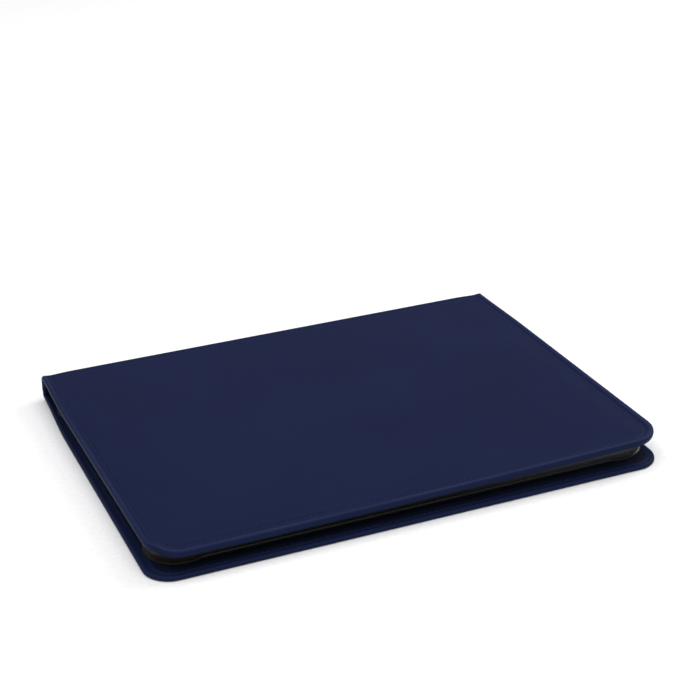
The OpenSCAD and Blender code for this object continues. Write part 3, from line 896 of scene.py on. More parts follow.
    def draft(self) -> Draft:
        """Returns the closed mesh of the cover."""
        draft = Draft()
        lit_and_worn = self.edge.wear(0.0)
        rim = [draft.add(self.place(x, y, 0.0, True), lit_and_worn) for x, y in self.outline(0.0)]
        outer = self._sheet(draft, True, rim)
        inner = self._sheet(draft, False, rim)
        draft.strip(outer, inner)
        return draft

    def section(self) -> list[SectionPoint]:
        """Returns the section along the seam, from left to right."""
        edge, y = self.edge, self.seam
        insets = edge.insets()
        deep = edge.reach + self.GRID_IN
        left = [(inset - self.half_width(y), inset) for inset in insets]
        across = left + [(x, deep) for x in self.columns]
        across += [(-x, inset) for x, inset in reversed(left)]
        nearest = self.end - y
        return [
            SectionPoint(
                x,
                edge.outer(inset, min(inset, nearest)) + self.swell(x, y, inset),
                edge.inner(inset, min(inset, nearest), False),
                -self.outward * self.settle(x, y, inset),
                edge.wear(inset),
            )
            for x, inset in across
        ]

    def stitch_line(self, outer: bool, sink: float) -> list[Point]:
        """Returns the closed line of the stitches on one face.

        Args:
            outer: Whether it is the outer face.
            sink: How deep the thread lies in its groove.

        Returns:
            The points of the line.
        """
        inset = self.edge.stitch
        end = self.end - inset
        sides = [(x, y) for x, y in self.outline(inset) if y <= end]
        first, last = sides[0], sides[-1]
        across = [(x, end) for x in spread(last[0], first[0], self.SPINE_STEPS)[1:-1]]
        depths = [inset] * len(sides) + [self.edge.reach] * len(across)
        side = self.outward if outer else -self.outward
        line = []
        for (x, y), depth in zip(sides + across, depths):
            px, py, pz = self.place(x, y, depth, outer)
            line.append((px, py, pz - side * sink))
        return line


class KeyboardCover(Cover):
    """The upper cover, whose free margins hang a little below the board at the opening corner."""

    SKEW = 0.5 * MM
    FRONT_SAG = (1.6 * MM, -1.35 * MM, -0.85 * MM)
    LEFT_SAG = 1.3 * MM
    RIGHT_RISE = 0.85 * MM
    RISE_RUN = 16 * MM
    HANG_END = 70 * MM
    CORNER_CALM = 0.8
    WAVE = 0.05 * MM
    WAVE_EDGE = 15 * MM
    WAVE_FOLD = 20 * MM

    def settle(self, x: float, y: float, inset: float) -> float:
        """Lets the margins past the keyboard hang, or rise a little on the right."""
        low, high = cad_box("keyboard_base")
        hold = 1 - ease((y - self.HANG_END) / (self.seam - self.HANG_END))
        share = x / self.half_x
        level, slope, bow = self.FRONT_SAG
        ahead = ease((low.y - y) / (low.y - self.front))
        left = ease((low.x - x) / (low.x + self.half_x)) * self.LEFT_SAG
        right = ease((x - high.x) / (self.half_x - high.x)) * self.RIGHT_RISE * self.forward(y)
        sides = (right - left) * hold * (1 - self.CORNER_CALM * ahead)
        return sides - (level + slope * share + bow * share * share) * ahead

    def swell(self, x: float, y: float, inset: float) -> float:
        """Gives the outer face a very slight wave and its rise towards the right."""
        wave = math.sin(58 * x + 1.0) * math.sin(71 * y + 0.4) + 0.6 * math.sin(96 * x - 83 * y)
        calm = ease(inset / self.WAVE_EDGE) * ease((self.seam - y) / self.WAVE_FOLD)
        rise = self.RIGHT_RISE * clamp(x / self.half_x) * self.forward(y)
        return self.WAVE * wave * calm + rise * ease(inset / self.RISE_RUN)


class BackCover(Cover):
    """The lower cover, whose side edges curl up a little towards the spine."""

    RADIUS = 13.5 * MM
    SKEW = -1.4 * MM
    CURL = 1.5 * MM
    CURL_RUN = 47 * MM
    CURL_IN = 0.5 * MM

    def settle(self, x: float, y: float, inset: float) -> float:
        """Curls the rim outside the lining up as it nears the spine."""
        along = clamp((y - (self.seam - self.CURL_RUN)) / self.CURL_RUN)
        across = ease(1 - inset / (self.edge.rim + self.CURL_IN))
        return self.CURL * along * along * across


_BOXES: dict[str, tuple[Vector, Vector]] = {}


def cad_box(node: str) -> tuple[Vector, Vector]:
    """Returns a node's corners, measured once."""
    if node not in _BOXES:
        _BOXES[node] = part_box(node)
    return _BOXES[node]


@dataclass(frozen=True)
class Station:
    """One place along the leather's path round the spine, in the YZ plane."""

    y: float
    z: float
    out_y: float
    out_z: float
    fold: float
    share: float


class SpineWrap:
    """The leather that runs from the back cover round the spine to the keyboard cover."""

    BEND = 2.4 * MM
    REACH = 1.5 * MM
    THIN = 0.35 * MM
    BULGE = 0.25 * MM
    STEPS = 10
    NARROW = 0.8 * MM
    FULL = 0.9 * MM
    UPRIGHT = 0.999
    ENDS = 4
    MIDDLE = 13

    def __init__(self) -> None:
        """Takes the two fold lines from the frame's joints."""
        joints = {j["name"]: j for j in frame["joints"]}
        self.fold_y, self.low_z = joints["back_fold"]["pos_m"][1:]
        self.high_z = joints["cover_fold"]["pos_m"][2]
        self.lined_low, self.lined_high = (corner.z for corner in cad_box("spine_lining"))
        self.lined_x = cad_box("spine_lining")[1].x
        self.half_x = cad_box("spine_leather")[1].x - self.NARROW
        self.seam = self.fold_y - self.BEND - self.REACH
        self.low_end = self.low_z + self.BEND + self.REACH
        self.high_end = self.high_z - self.BEND - self.REACH

    def _fold(self, low: bool) -> list[Station]:
        """Returns the stations round one fold, in the order back cover, spine, keyboard cover."""
        bend, centre_y = self.BEND, self.fold_y - self.BEND
        centre_z = self.low_z + bend if low else self.high_z - bend
        turn = [QUARTER * i / self.STEPS for i in range(self.STEPS + 1)]
        stations = []
        for a in turn:
            out = (math.sin(a), -math.cos(a)) if low else (math.cos(a), math.sin(a))
            fold = math.sin(2 * a)
            share = 0.0 if low else 1.0
            stations.append(
                Station(centre_y + bend * out[0], centre_z + bend * out[1], *out, fold, share)
            )
        return stations

    def stations(self) -> tuple[list[Station], list[Station], list[Station]]:
        """Returns the stations of the lower fold, of the spine and of the upper fold."""
        low, high = self._fold(True), self._fold(False)
        runs = (
            spread(self.seam, low[0].y, self.ENDS)[:-1],
            spread(low[-1].z, self.low_end, self.ENDS)[1:],
            spread(self.high_end, high[0].z, self.ENDS)[:-1],
            spread(high[-1].y, self.seam, self.ENDS)[1:],
        )
        spine = [
            Station(
                self.fold_y + self.BULGE * math.sin(math.pi * s) ** 2,
                self.low_end + (self.high_end - self.low_end) * s,
                1, 0, 0, ease(s),
            )
            for s in spread(0, 1, self.MIDDLE)
        ]
        back = [Station(y, self.low_z, 0, -1, 0, 0) for y in runs[0]] + low
        back += [Station(self.fold_y, z, 1, 0, 0, 0) for z in runs[1]]
        lid = [Station(self.fold_y, z, 1, 0, 0, 1) for z in runs[2]] + high
        lid += [Station(y, self.high_z, 0, 1, 0, 1) for y in runs[3]]
        return back, spine, lid

    def draft(
        self, stations: list[Station], back: list[SectionPoint], lid: list[SectionPoint]
    ) -> Draft:
        """Sweeps the leather's section along some stations and closes both ends.

        Args:
            stations: The places along the path.
            back: The section of the back cover at its seam.
            lid: The section of the keyboard cover at its seam.

        Returns:
            The closed mesh.
        """
        draft = Draft()
        loops, chains = [], []
        for station in stations:
            outer, inner = self._ring(draft, station, back, lid)
            loops.append(outer + inner[1:-1][::-1])
            chains.append((outer, inner))
        for first, second in zip(loops, loops[1:]):
            draft.strip(first, second, closed=True)
        draft.strip(*chains[0])
        draft.strip(*chains[-1])
        return draft

    def _ring(
        self,
        draft: Draft,
        station: Station,
        back: list[SectionPoint],
        lid: list[SectionPoint],
    ) -> tuple[list[int], list[int]]:
        """Adds the section's points at one station.

        Args:
            draft: The mesh that takes them.
            station: The place along the path.
            back: The section of the back cover at its seam.
            lid: The section of the keyboard cover at its seam.

        Returns:
            The outer and the inner points, from left to right, which share their ends.
        """
        lined_z = self.lined_low < station.z < self.lined_high and station.out_y > self.UPRIGHT
        settle = clamp((self.high_end - station.z) / (self.high_end - self.low_z)) ** 2
        outer, inner = [], []
        for i, (a, b) in enumerate(zip(back, lid)):
            mix = station.share
            x = a.x + (b.x - a.x) * mix
            out = a.outer + (b.outer - a.outer) * mix
            into = a.inner + (b.inner - a.inner) * mix
            into -= self.THIN * station.fold * clamp(into / self.FULL)
            if lined_z and abs(x) < self.lined_x:
                into = 0.0
            lift = a.lift * settle * (1 - mix) + b.lift * mix
            lit_and_worn = a.wear + (b.wear - a.wear) * mix
            ends = i in (0, len(back) - 1)
            for side, height in ((outer, out), (inner, -into)):
                h = height - lift
                if ends and side is inner:
                    side.append(outer[-1])
                    continue
                point = (x, station.y + station.out_y * h, station.z + station.out_z * h)
                side.append(draft.add(point, lit_and_worn))
        return outer, inner


@dataclass(frozen=True)
class Layer:
    """A thin layer inside a cover, which takes the bend of the leather round it."""

    node: str
    name: str
    slot: str
    finish: Finish
    step: float = 6 * MM
    sharp: float = 30.0

    def lay(self, cover: Cover, body: str) -> None:
        """Copies the node and bends the copy as the cover settles.

        Args:
            cover: The cover that holds the layer.
            body: The body that it moves with.
        """
        mesh = frame["nodes"][self.node].data.copy()
        mesh.name = self.name
        low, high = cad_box(self.node)
        shape = bmesh.new()
        shape.from_mesh(mesh)
        weld(shape)
        for axis in (0, 1):
            count = max(2, round((high[axis] - low[axis]) / self.step))
            for place in spread(low[axis], high[axis], count)[1:-1]:
                point, normal = [0.0] * 3, [0.0] * 3
                point[axis], normal[axis] = place, 1.0
                everything = [*shape.verts, *shape.edges, *shape.faces]
                bmesh.ops.bisect_plane(
                    shape, geom=everything, dist=DOUBLE, plane_co=point, plane_no=normal
                )
        for vert in shape.verts:
            x, y, _ = vert.co
            vert.co.z += cover.settle(x, y, cover.depth(x, y))
        shape.to_mesh(mesh)
        shape.free()
        piece = finish_mesh(self.name, mesh, self.finish, self.sharp)
        hand_over(piece, body, self.slot, self.node)


@dataclass(frozen=True)
class LeatherWork:
    """All the leather of the case: two covers, two folds and the spine, with their stitching."""

    camera_radius: float = 9.8 * MM
    cut_from: float = -2 * MM
    cut_to: float = 5 * MM
    corner_steps: int = 8

    def build(self) -> None:
        """Makes the leather pieces and sews them."""
        wrap = SpineWrap()
        lid_edge = TurnedEdge(
            half=0.9 * MM, bead_out=0.30 * MM, bead_in=1.40 * MM, crown=0.35 * MM, highlight_ridge=1.5 * MM
        )
        back_edge = TurnedEdge(
            half=0.9 * MM, bead_out=0.0, bead_in=0.40 * MM, crown=0.0, reach=12.3 * MM
        )
        lid = KeyboardCover("lid_leather", lid_edge, 1, wrap.seam, wrap.half_x)
        back = BackCover("back_leather", back_edge, -1, wrap.seam, wrap.half_x)
        lid_skin = lid.draft().build("lid_skin", LEATHER)
        hand_over(lid_skin, "keyboard_cover", "navy_leather", "lid_leather")
        back_skin = self._cut_camera(back.draft().build("back_skin_draft", LEATHER))
        hand_over(back_skin, "back_cover", "navy_leather", "back_leather")
        sections = (back.section(), lid.section())
        low, spine, high = wrap.stations()
        spine_skin = wrap.draft(spine, *sections).build("spine_skin", LEATHER)
        hand_over(spine_skin, "spine", "navy_leather", "spine_leather")
        low_fold = wrap.draft(low, *sections).build("back_fold_skin", LEATHER)
        high_fold = wrap.draft(high, *sections).build("lid_fold_skin", LEATHER)
        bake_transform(low_fold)
        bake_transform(high_fold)
        for piece in (low_fold, high_fold):
            LOG.info("%s: %d faces across a fold", piece.name, len(piece.data.polygons))
        for layer in (
            Layer("lid_board", "lid_stiffener", "stiffening_board", BOARD),
            Layer("lid_lining", "lid_microfibre", "microfibre", MICROFIBRE),
            Layer("lid_magnets", "lid_clasps", "magnet_steel", STEEL),
        ):
            layer.lay(lid, "keyboard_cover")
        stitcher = Stitcher()
        stitcher.sew("lid_stitches", "keyboard_cover", lid)
        stitcher.sew("back_stitches", "back_cover", back)

    def _cut_camera(self, piece: bpy.types.Object) -> bpy.types.Object:
        """Cuts the camera opening through the back cover.

        Args:
            piece: The back cover's leather before the cut.

        Returns:
            The leather with its opening.
        """
        low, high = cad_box("camera_trim")
        corners = round_box(low, high, 0.0, self.camera_radius, self.corner_steps)
        draft = Draft()
        heights = (self.cut_from, self.cut_to)
        rings = [[draft.add((x, y, z)) for x, y in corners] for z in heights]
        draft.strip(*rings, closed=True)
        for ring in rings:
            draft.face(*ring)
        cutter = draft.build("camera_cutter", LEATHER)
        cut = piece.modifiers.new("camera", "BOOLEAN")
        cut.object = cutter
        cut.operation = "DIFFERENCE"
        cut.solver = "EXACT"
        mesh = settled(piece)
        mesh.name = "back_skin"
        for spare in (piece, cutter):
            bpy.data.objects.remove(spare)
        return finish_mesh("back_skin", mesh, LEATHER, 40.0)


@dataclass(frozen=True)
class Stitcher:
    """Sews a line of slightly slanted stitches along a cover, by geometry nodes."""

    pitch: float = 2.9 * MM
    length: float = 2.3 * MM
    thread: float = 0.24 * MM
    slant: float = 7.0
    jitter: float = 2.5
    sink: float = 0.02 * MM
    seed: int = 7

    def _tree(self) -> Tree:
        """Builds the geometry node tree that lays stitches along a curve."""
        tree = bpy.data.node_groups.new("stitch_line", "GeometryNodeTree")
        face = tree.interface
        face.new_socket("Geometry", in_out="INPUT", socket_type="NodeSocketGeometry")
        for name in ("Pitch", "Length", "Thread", "Slant", "Jitter"):
            face.new_socket(name, in_out="INPUT", socket_type="NodeSocketFloat")
        face.new_socket("Outward", in_out="INPUT", socket_type="NodeSocketVector")
        face.new_socket("Seed", in_out="INPUT", socket_type="NodeSocketInt")
        face.new_socket("Finish", in_out="INPUT", socket_type="NodeSocketMaterial")
        face.new_socket("Geometry", in_out="OUTPUT", socket_type="NodeSocketGeometry")
        given = add_node(tree, "NodeGroupInput").outputs
        points = add_node(
            tree, "GeometryNodeCurveToPoints",
            {"Curve": given["Geometry"], "Length": given["Pitch"]},
            mode="LENGTH",
        ).outputs
        along = wire(
            tree, "FunctionNodeAlignRotationToVector", "Rotation",
            {"Vector": points["Tangent"]},
            axis="X",
        )
        upright = wire(
            tree, "FunctionNodeAlignRotationToVector", "Rotation",
            {"Rotation": along, "Vector": given["Outward"]},
            axis="Z", pivot_axis="X",
        )
        low = maths(tree, "SUBTRACT", given["Slant"], given["Jitter"])
        high = maths(tree, "ADD", given["Slant"], given["Jitter"])
        turn = wire(
            tree, "FunctionNodeRandomValue", 1,
            {"Min": low, "Max": high, "Seed": given["Seed"]},
            data_type="FLOAT",
        )
        tilt = wire(tree, "ShaderNodeCombineXYZ", 0, {"Z": turn})
        turned = wire(
            tree, "FunctionNodeRotateRotation", "Rotation",
            {"Rotation": upright, "Rotate By": tilt},
            rotation_space="LOCAL",
        )
        laid = {
            "Points": points["Points"],
            "Instance": self._stitch(tree, given),
            "Rotation": turned,
        }
        instances = wire(tree, "GeometryNodeInstanceOnPoints", "Instances", laid)
        real = wire(tree, "GeometryNodeRealizeInstances", "Geometry", {"Geometry": instances})
        dressed = wire(
            tree, "GeometryNodeSetMaterial", "Geometry",
            {"Geometry": real, "Material": given["Finish"]},
        )
        add_node(tree, "NodeGroupOutput", {"Geometry": dressed})
        return tree

    @staticmethod
    def _stitch(tree: Tree, given: bpy.types.bpy_prop_collection) -> Socket:
        """Builds one arched stitch, lying along X.

        Args:
            tree: The node tree.
            given: The tree's named inputs.

        Returns:
            The socket with the stitch's mesh.
        """
        half = maths(tree, "MULTIPLY", given["Length"], 0.5)
        back = maths(tree, "MULTIPLY", half, -1.0)
        dip = maths(tree, "MULTIPLY", given["Thread"], -0.9)
        rise = maths(tree, "MULTIPLY", given["Thread"], 1.5)
        path = {
            "Resolution": 5,
            "Start": wire(tree, "ShaderNodeCombineXYZ", 0, {"X": back, "Z": dip}),
            "Middle": wire(tree, "ShaderNodeCombineXYZ", 0, {"Z": rise}),
            "End": wire(tree, "ShaderNodeCombineXYZ", 0, {"X": half, "Z": dip}),
        }
        arc = wire(tree, "GeometryNodeCurveQuadraticBezier", "Curve", path)
        round_thread = {"Resolution": 6, "Radius": given["Thread"]}
        ring = wire(tree, "GeometryNodeCurvePrimitiveCircle", "Curve", round_thread)
        sweep = {"Curve": arc, "Profile Curve": ring, "Fill Caps": True}
        tube = wire(tree, "GeometryNodeCurveToMesh", "Mesh", sweep)
        smooth = {"Geometry": tube, "Shade Smooth": True}
        return wire(tree, "GeometryNodeSetShadeSmooth", "Geometry", smooth)

    def sew(self, name: str, body: str, cover: Cover) -> None:
        """Sews both faces of a cover and joins the stitches into one piece.

        Args:
            name: The piece's name.
            body: The body that the stitches move with.
            cover: The cover that is sewn.
        """
        tree = bpy.data.node_groups.get("stitch_line") or self._tree()
        merged = bmesh.new()
        for outer in (True, False):
            side = cover.outward if outer else -cover.outward
            mesh = self._line(tree, cover.stitch_line(outer, self.sink), side)
            merged.from_mesh(mesh)
            bpy.data.meshes.remove(mesh)
        mesh = bpy.data.meshes.new(name)
        merged.to_mesh(mesh)
        merged.free()
        piece = finish_mesh(name, mesh, THREAD, 60.0)
        hand_over(piece, body, "navy_leather")

    def _line(self, tree: Tree, points: list[Point], side: int) -> bpy.types.Mesh:
        """Runs the node tree along one closed line.

        Args:
            tree: The stitch tree.
            points: The points of the line.
            side: 1 where the stitches look up, and -1 where they look down.

        Returns:
            The stitches as a plain mesh.
        """
        curve = bpy.data.curves.new("stitch_path", "CURVE")
        curve.dimensions = "3D"
        spline = curve.splines.new("POLY")
        spline.points.add(len(points) - 1)
        for target, point in zip(spline.points, points):
            target.co = (*point, 1.0)
        spline.use_cyclic_u = True
        path = put("stitch_path", curve)
        sewing = path.modifiers.new("stitches", "NODES")
        sewing.node_group = tree
        values = {
            "Pitch": self.pitch,
            "Length": self.length,
            "Thread": self.thread,
            "Slant": math.radians(self.slant),
            "Jitter": math.radians(self.jitter),
            "Outward": (0.0, 0.0, float(side)),
            "Seed": self.seed,
            "Finish": THREAD.material(),
        }
        for item in tree.interface.items_tree:
            if item.item_type == "SOCKET" and item.name in values:
                sewing[item.identifier] = values[item.name]
        mesh = settled(path)
        bpy.data.objects.remove(path)
        return mesh


# ---------------------------------------------------------------- keyboard


@dataclass(frozen=True)
class KeyCaps:
    """Dished key caps with rounded shoulders, one hollow solid for each key."""

    flange_out: float = 0.75 * MM
    flange_t: float = 0.4 * MM
    wall: float = 0.9 * MM
    roof: float = 0.6 * MM
    corner: float = 1.3 * MM
    shoulder: float = 0.28 * MM
    draught: float = 0.10 * MM
    dish: float = 0.16 * MM
    corner_steps: int = 4
    least_corner: float = 0.25 * MM
    edge_in: float = 0.08 * MM
    edge_up: float = 0.10 * MM
    dish_rim: float = 1.2 * MM
    dish_mid: float = 2.2 * MM

    def build(self) -> None:
        """Replaces the caps of every key node."""
        for body, nodes in frame["record"]["behaviour"]["bodies"].items():
            if body in ("back_cover", "spine", "keyboard_cover", "power_slider", "pairing_button"):
                continue
            for node in nodes:
                self._node(node, body)

    def _node(self, node: str, body: str) -> None:
        """Makes the caps of one node.

        Args:
            node: The key node.
            body: The body that its keys move with.
        """
        draft = Draft()
        for low, high in islands(frame["nodes"][node]):
            self._cap(draft, low, high)
        piece = draft.build(node.replace("_keys", "_caps").replace("_key", "_cap"), KEYCAP, 50.0)
        hand_over(piece, body, "key_plastic", node)

    def _outline(self, low: Vector, high: Vector, inset: float) -> list[tuple[float, float]]:
        """Returns a rectangle with round corners, inset from two corners of a box."""
        radius = max(self.corner - max(0.0, inset - self.flange_out), self.least_corner)
        return round_box(low, high, inset, radius, self.corner_steps)

    def _cap(self, draft: Draft, low: Vector, high: Vector) -> None:
        """Adds one cap, which looks down while the cover is shut.

        Args:
            draft: The mesh that takes it.
            low: The lowest corner of the key's box.
            high: The highest corner of the key's box.
        """
        top, seat = low.z, high.z
        side = self.flange_out
        rows = [
            (side + self.wall, top + self.roof),
            (side + self.wall, seat),
            (0.0, seat),
            (0.0, seat - self.flange_t),
            (side, seat - self.flange_t),
            (side + self.draught, top + self.shoulder),
            (side + self.draught + self.edge_in, top + self.edge_up),
            (side + self.draught + self.shoulder, top),
            (side + self.dish_rim, top + 0.35 * self.dish),
            (side + self.dish_mid, top + 0.75 * self.dish),
        ]
        rings = [
            [draft.add((x, y, z)) for x, y in self._outline(low, high, inset)]
            for inset, z in rows
        ]
        for first, second in zip(rings, rings[1:]):
            draft.strip(first, second, closed=True)
        draft.face(*rings[0])
        centre = draft.add(((low.x + high.x) / 2, (low.y + high.y) / 2, top + self.dish))
        for a, b in zip(rings[-1], rings[-1][1:] + rings[-1][:1]):
            draft.face(centre, a, b)


def islands(piece: bpy.types.Object) -> list[tuple[Vector, Vector]]:
    """Finds the separate solids of a piece.

    Args:
        piece: The mesh object.

    Returns:
        The lowest and highest corner of each solid, from left to right.
    """
    shape = bmesh.new()
    shape.from_mesh(piece.data)
    bmesh.ops.remove_doubles(shape, verts=shape.verts, dist=DOUBLE)
    seen: set = set()
    found = []
    for start in shape.verts:
        if start in seen:
            continue
        seen.add(start)
        group, queue = [start], [start]
        while queue:
            for edge in queue.pop().link_edges:
                for vert in edge.verts:
                    if vert not in seen:
                        seen.add(vert)
                        group.append(vert)
                        queue.append(vert)
        low = Vector([min(v.co[axis] for v in group) for axis in range(3)])
        high = Vector([max(v.co[axis] for v in group) for axis in range(3)])
        found.append((low, high))
    shape.free()
    return sorted(found, key=lambda box: (box[0].x, box[0].y))


@dataclass
class Keyboard:
    """The keyboard's housings, controls and inner parts."""

    def build(self) -> None:
        """Dresses the keyboard."""
        KeyCaps().build()
        mould = Softener(width=0.35 * MM, segments=3)
        fine = Softener(width=0.1 * MM, segments=2)
        lid, button = "keyboard_cover", "pairing_button"
        plastic, control = "keyboard_plastic", "control_plastic"
        for softener, *job in (
            (mould, "base_shell", lid, plastic, HOUSING, "keyboard_base"),
            (fine, "deck_plate", lid, plastic, HOUSING, "keyboard_deck"),
            (mould, "bar_shell", lid, plastic, HOUSING, "control_bar"),
            (mould, "rail_moulding", lid, "tray_plastic", TRAY, "stand_rail"),
            (fine, "bumper_studs", lid, "bumper_rubber", RUBBER, "rubber_bumpers"),
            (fine, "port_shell", lid, "socket_steel", STEEL, "charge_port"),
            (fine, "light_pipes", lid, "light_pipe", PIPE, "status_lights"),
            (fine, "slider_knob", "power_slider", control, CONTROL, "power_slider"),
            (fine, "button_cap", button, control, CONTROL, button),
        ):
            softener.apply(*job)
        hidden = {
            "membrane_sheet": FILM,
            "dome_sheet": SILICONE,
            "battery_cell": FOIL,
            "circuit_board": LAMINATE,
            "board_parts": CHIP,
            "housing_screws": BLACK_STEEL,
            "rail_magnets": STEEL,
        }
        for node, finish in hidden.items():
            dress(node, finish)


@dataclass(frozen=True)
class RimStation:
    """One place on the tray's outline, with its way out and how far the corner grip has risen."""

    x: float
    y: float
    out_x: float
    out_y: float
    rise: float
    notched: bool = False


@dataclass(frozen=True)
class TrayRim:
    """The wall round the tray: low at the sides, and higher, thicker and hooked at the corners."""

    radius: float = 13.5 * MM
    wall: float = 1.2 * MM
    hook: float = 1.2 * MM
    hook_t: float = 0.6 * MM
    grip: float = 16 * MM
    ramp: float = 6 * MM
    foot: float = 1.3 * MM
    flare: float = 0.15 * MM
    grip_flare: float = 1.5 * MM
    notch: float = 16 * MM
    notch_top: float = 0.3 * MM
    crest: float = 1.4 * MM
    step: float = 8 * MM
    gap: float = 0.01 * MM
    # Where the painted reflection on the upper wall starts and how far it grows towards the right.
    reflection_start: float = 10 * MM
    reflection_run: float = 60 * MM
    ramp_steps: int = 8
    corner_steps: int = 12
    notch_clear: float = 1 * MM
    notch_wall: float = 0.1 * MM
    toe: float = 0.08 * MM
    chamfer: float = 0.12 * MM
    belly: float = 0.06 * MM
    top_round: float = 0.4 * MM
    lip_round: float = 0.2 * MM

    def build(self) -> None:
        """Sweeps the wall's section round the tray."""
        draft = Draft()
        loops = [self._ring(draft, station) for station in self._stations()]
        for first, second in zip(loops, loops[1:] + loops[:1]):
            draft.strip(first, second, closed=True)
        piece = draft.build("tray_rim", TRAY, 38.0)
        hand_over(piece, "back_cover", "tray_plastic", "tray_walls", "corner_grips")

    def _places(self, half: float, notched: bool) -> list[tuple[float, float, bool]]:
        """Returns the places along one side with the grips' rise and whether the notch is there.

        Args:
            half: Half the side's length, corners included.
            notched: Whether the side has the notch of the charging port.

        Returns:
            For each place its distance from the side's middle, the rise and the notch.
        """
        inner = half - self.grip - self.ramp
        climb = [*spread(inner, inner + self.ramp, self.ramp_steps + 1), half - self.radius]
        plain = spread(-inner, inner, round(2 * inner / self.step))[1:-1]
        edge = self.notch / 2
        if notched:
            wall = self.notch_wall
            plain = [s for s in plain if abs(abs(s) - edge) > self.notch_clear]
            plain += [side * (edge + d) for side in (-1, 1) for d in (-wall, wall)]
        places = sorted([*plain, *climb, *[-s for s in climb]])
        return [
            (s, ease((abs(s) - inner) / self.ramp), notched and abs(s) < edge)
            for s in places
        ]

    def _stations(self) -> list[RimStation]:
        """Returns the places round the tray, from the left of the opening edge."""
        low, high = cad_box("tray_base")
        half_x, mid_y, half_y = high.x, (low.y + high.y) / 2, (high.y - low.y) / 2
        stations = []
        for quarter in range(4):
            a = QUARTER * (quarter - 1)
            out_x, out_y = round(math.cos(a)), round(math.sin(a))
            half, reach = (half_x, half_y) if out_x == 0 else (half_y, half_x)
            for s, rise, notched in self._places(half, quarter == 1):
                x = reach * out_x - s * out_y
                y = mid_y + reach * out_y + s * out_x
                stations.append(RimStation(x, y, out_x, out_y, rise, notched))
            corner_x = (half_x - self.radius) * (out_x - out_y)
            corner_y = mid_y + (half_y - self.radius) * (out_y + out_x)
            for i in range(1, self.corner_steps):
                b = a + QUARTER * i / self.corner_steps
                nx, ny = math.cos(b), math.sin(b)
                x, y = corner_x + self.radius * nx, corner_y + self.radius * ny
                stations.append(RimStation(x, y, nx, ny, 1.0))
        return stations

    def _ring(self, draft: Draft, at: RimStation) -> list[int]:
        """Adds the wall's section at one place, with a painted reflection above its foot that grows towards the
        right, and returns its points.
        """
        foot_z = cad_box("tray_base")[0].z + self.foot
        # Painted reflection: lighter above the foot, growing towards the right.
        rubbed_and_lit = ease((at.x - self.reflection_start) / self.reflection_run)
        return [
            draft.add((at.x + at.out_x * out, at.y + at.out_y * out, z), rubbed_and_lit * (z > foot_z))
            for out, z in self._section(at.rise, at.notched)
        ]

    def _section(self, rise: float, notched: bool) -> list[tuple[float, float]]:
        """Returns the wall's section as distances outwards and heights.

        Args:
            rise: How far the grip has risen, from 0 to 1.
            notched: Whether the charging port's notch is there.

        Returns:
            The closed outline, from the inner foot outwards and round.
        """
        foot_z, seat = (corner.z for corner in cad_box("tray_base"))
        low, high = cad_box("tray_walls")[1].z + self.crest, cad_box("corner_grips")[1].z
        top = seat + self.notch_top if notched else low + (high - low) * rise
        tall = top - foot_z
        foot = min(self.foot, 0.4 * tall)
        flare = self.flare + (self.grip_flare - self.flare) * rise
        out = 0.5 * self.grip_flare * rise
        hook_t = min(self.hook_t, 0.4 * (top - seat))
        inner = -self.wall - self.hook * clamp((top - high + self.hook_t) / self.hook_t)
        start = foot_z + 1.2 * foot
        body = top - start
        seat += self.gap
        return [
            (-self.wall, seat),
            (self.gap, seat),
            (self.gap, foot_z + 3 * self.gap),
            (flare - self.toe, foot_z + 3 * self.gap),
            (flare, foot_z + self.chamfer),
            (flare, foot_z + 0.6 * foot),
            (flare - 0.1 * MM, foot_z + 0.85 * foot),
            (out - self.chamfer, foot_z + foot),
            (out, start),
            (out + self.belly, start + 0.45 * body),
            (out, start + 0.8 * body),
            (out - self.chamfer, start + 0.94 * body),
            (out - self.top_round, top),
            (inner + self.lip_round, top),
            (inner, top - 0.4 * hook_t),
            (inner, top - hook_t),
            (-self.wall, top - 1.05 * hook_t),
        ]


@dataclass
class TabletTray:
    """The moulded tray with its felt, and the frame of the camera opening."""

    def build(self) -> None:
        """Dresses the tray and what lies under it."""
        TrayRim().build()
        floor = Softener(width=0.12 * MM)
        floor.apply("tray_floor", "back_cover", "tray_plastic", TRAY, "tray_base")
        trim = Softener(width=0.15 * MM)
        trim.apply("camera_frame", "back_cover", "tray_plastic", TRAY, "camera_trim")
        layers = {
            "tray_pad": FELT,
            "back_lining": MICROFIBRE,
            "spine_lining": MICROFIBRE,
            "back_board": BOARD,
            "flap_board": BOARD,
            "spine_board": BOARD,
            "back_magnets": STEEL,
        }
        for node, finish in layers.items():
            dress(node, finish)


# ---------------------------------------------------------------- studio


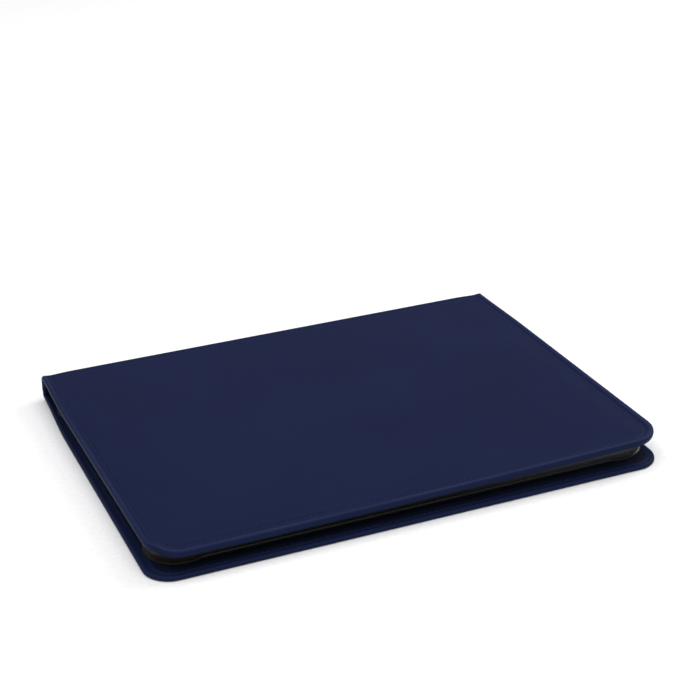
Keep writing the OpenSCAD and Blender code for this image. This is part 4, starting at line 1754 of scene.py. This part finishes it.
@dataclass(frozen=True)
class Viewpoint:
    """The camera: its place in metres, its aim in degrees and its focal length in frame widths."""

    place: Point = (-0.3021, -0.7141, 0.4140)
    yaw: float = 23.293
    pitch: float = 25.419
    roll: float = 0.675
    focal: float = 2.4523
    sensor: float = 36.0
    near: float = 0.01
    far: float = 20.0

    def build(self) -> None:
        """Makes the camera and gives it to the scene."""
        lens = bpy.data.cameras.new("viewpoint")
        lens.sensor_width = self.sensor
        lens.lens = self.focal * self.sensor
        lens.clip_start = self.near
        lens.clip_end = self.far
        camera = put("viewpoint", lens)
        turn = Matrix.Rotation(math.radians(-self.yaw), 4, "Z")
        tip = Matrix.Rotation(math.radians(90 - self.pitch), 4, "X")
        lean = Matrix.Rotation(math.radians(-self.roll), 4, "Z")
        camera.matrix_world = Matrix.Translation(self.place) @ turn @ tip @ lean
        bpy.context.scene.camera = camera


@dataclass(frozen=True)
class Softbox:
    """A square area light that looks at the case."""

    name: str
    place: Point
    size: float
    power: float
    aim: Point = (0.0, 0.0, 0.0)

    def build(self) -> None:
        """Hangs the light."""
        data = bpy.data.lights.new(self.name, "AREA")
        data.shape = "SQUARE"
        data.size = self.size
        data.energy = self.power
        lamp = put(self.name, data)
        lamp.location = self.place
        direction = Vector(self.aim) - Vector(self.place)
        lamp.rotation_euler = direction.to_track_quat("-Z", "Y").to_euler()


@dataclass(frozen=True)
class Studio:
    """A pale floor under soft light."""

    floor_half: float = 3.0
    sky: float = 0.4

    def build(self) -> None:
        """Lays the floor and lights the scene."""
        draft = Draft()
        size = self.floor_half
        corners = ((-size, -size), (size, -size), (size, size), (-size, size))
        draft.face(*[draft.add((x, y, 0.0)) for x, y in corners])
        paper = Finish(
            "floor_paper", Surface.NAP, (0.86, 0.86, 0.87), (0.84, 0.84, 0.85), 0.9,
            cells=300.0, drift=3.0, relief=0.01 * MM, specular=0.1,
        )
        floor = draft.build("floor", paper)
        world = bpy.data.worlds.new("studio")
        world.use_nodes = True
        backdrop = world.node_tree.nodes["Background"]
        backdrop.inputs["Color"].default_value = (1.0, 1.0, 1.0, 1.0)
        backdrop.inputs["Strength"].default_value = self.sky
        scene = bpy.context.scene
        scene.world = world
        scene.view_settings.view_transform = "Standard"
        for light in (
            Softbox("ceiling_box", (-0.1, 0.0, 1.9), 2.8, 46.0),
            Softbox("window_box", (1.2, 0.3, 0.9), 0.8, 8.0),
        ):
            light.build()


def main() -> None:
    """Builds the looks of the case."""
    logging.basicConfig(level=logging.INFO, format="%(message)s")
    Viewpoint().build()
    Studio().build()
    LeatherWork().build()
    TabletTray().build()
    Keyboard().build()


if __name__ == "__main__":
    main()
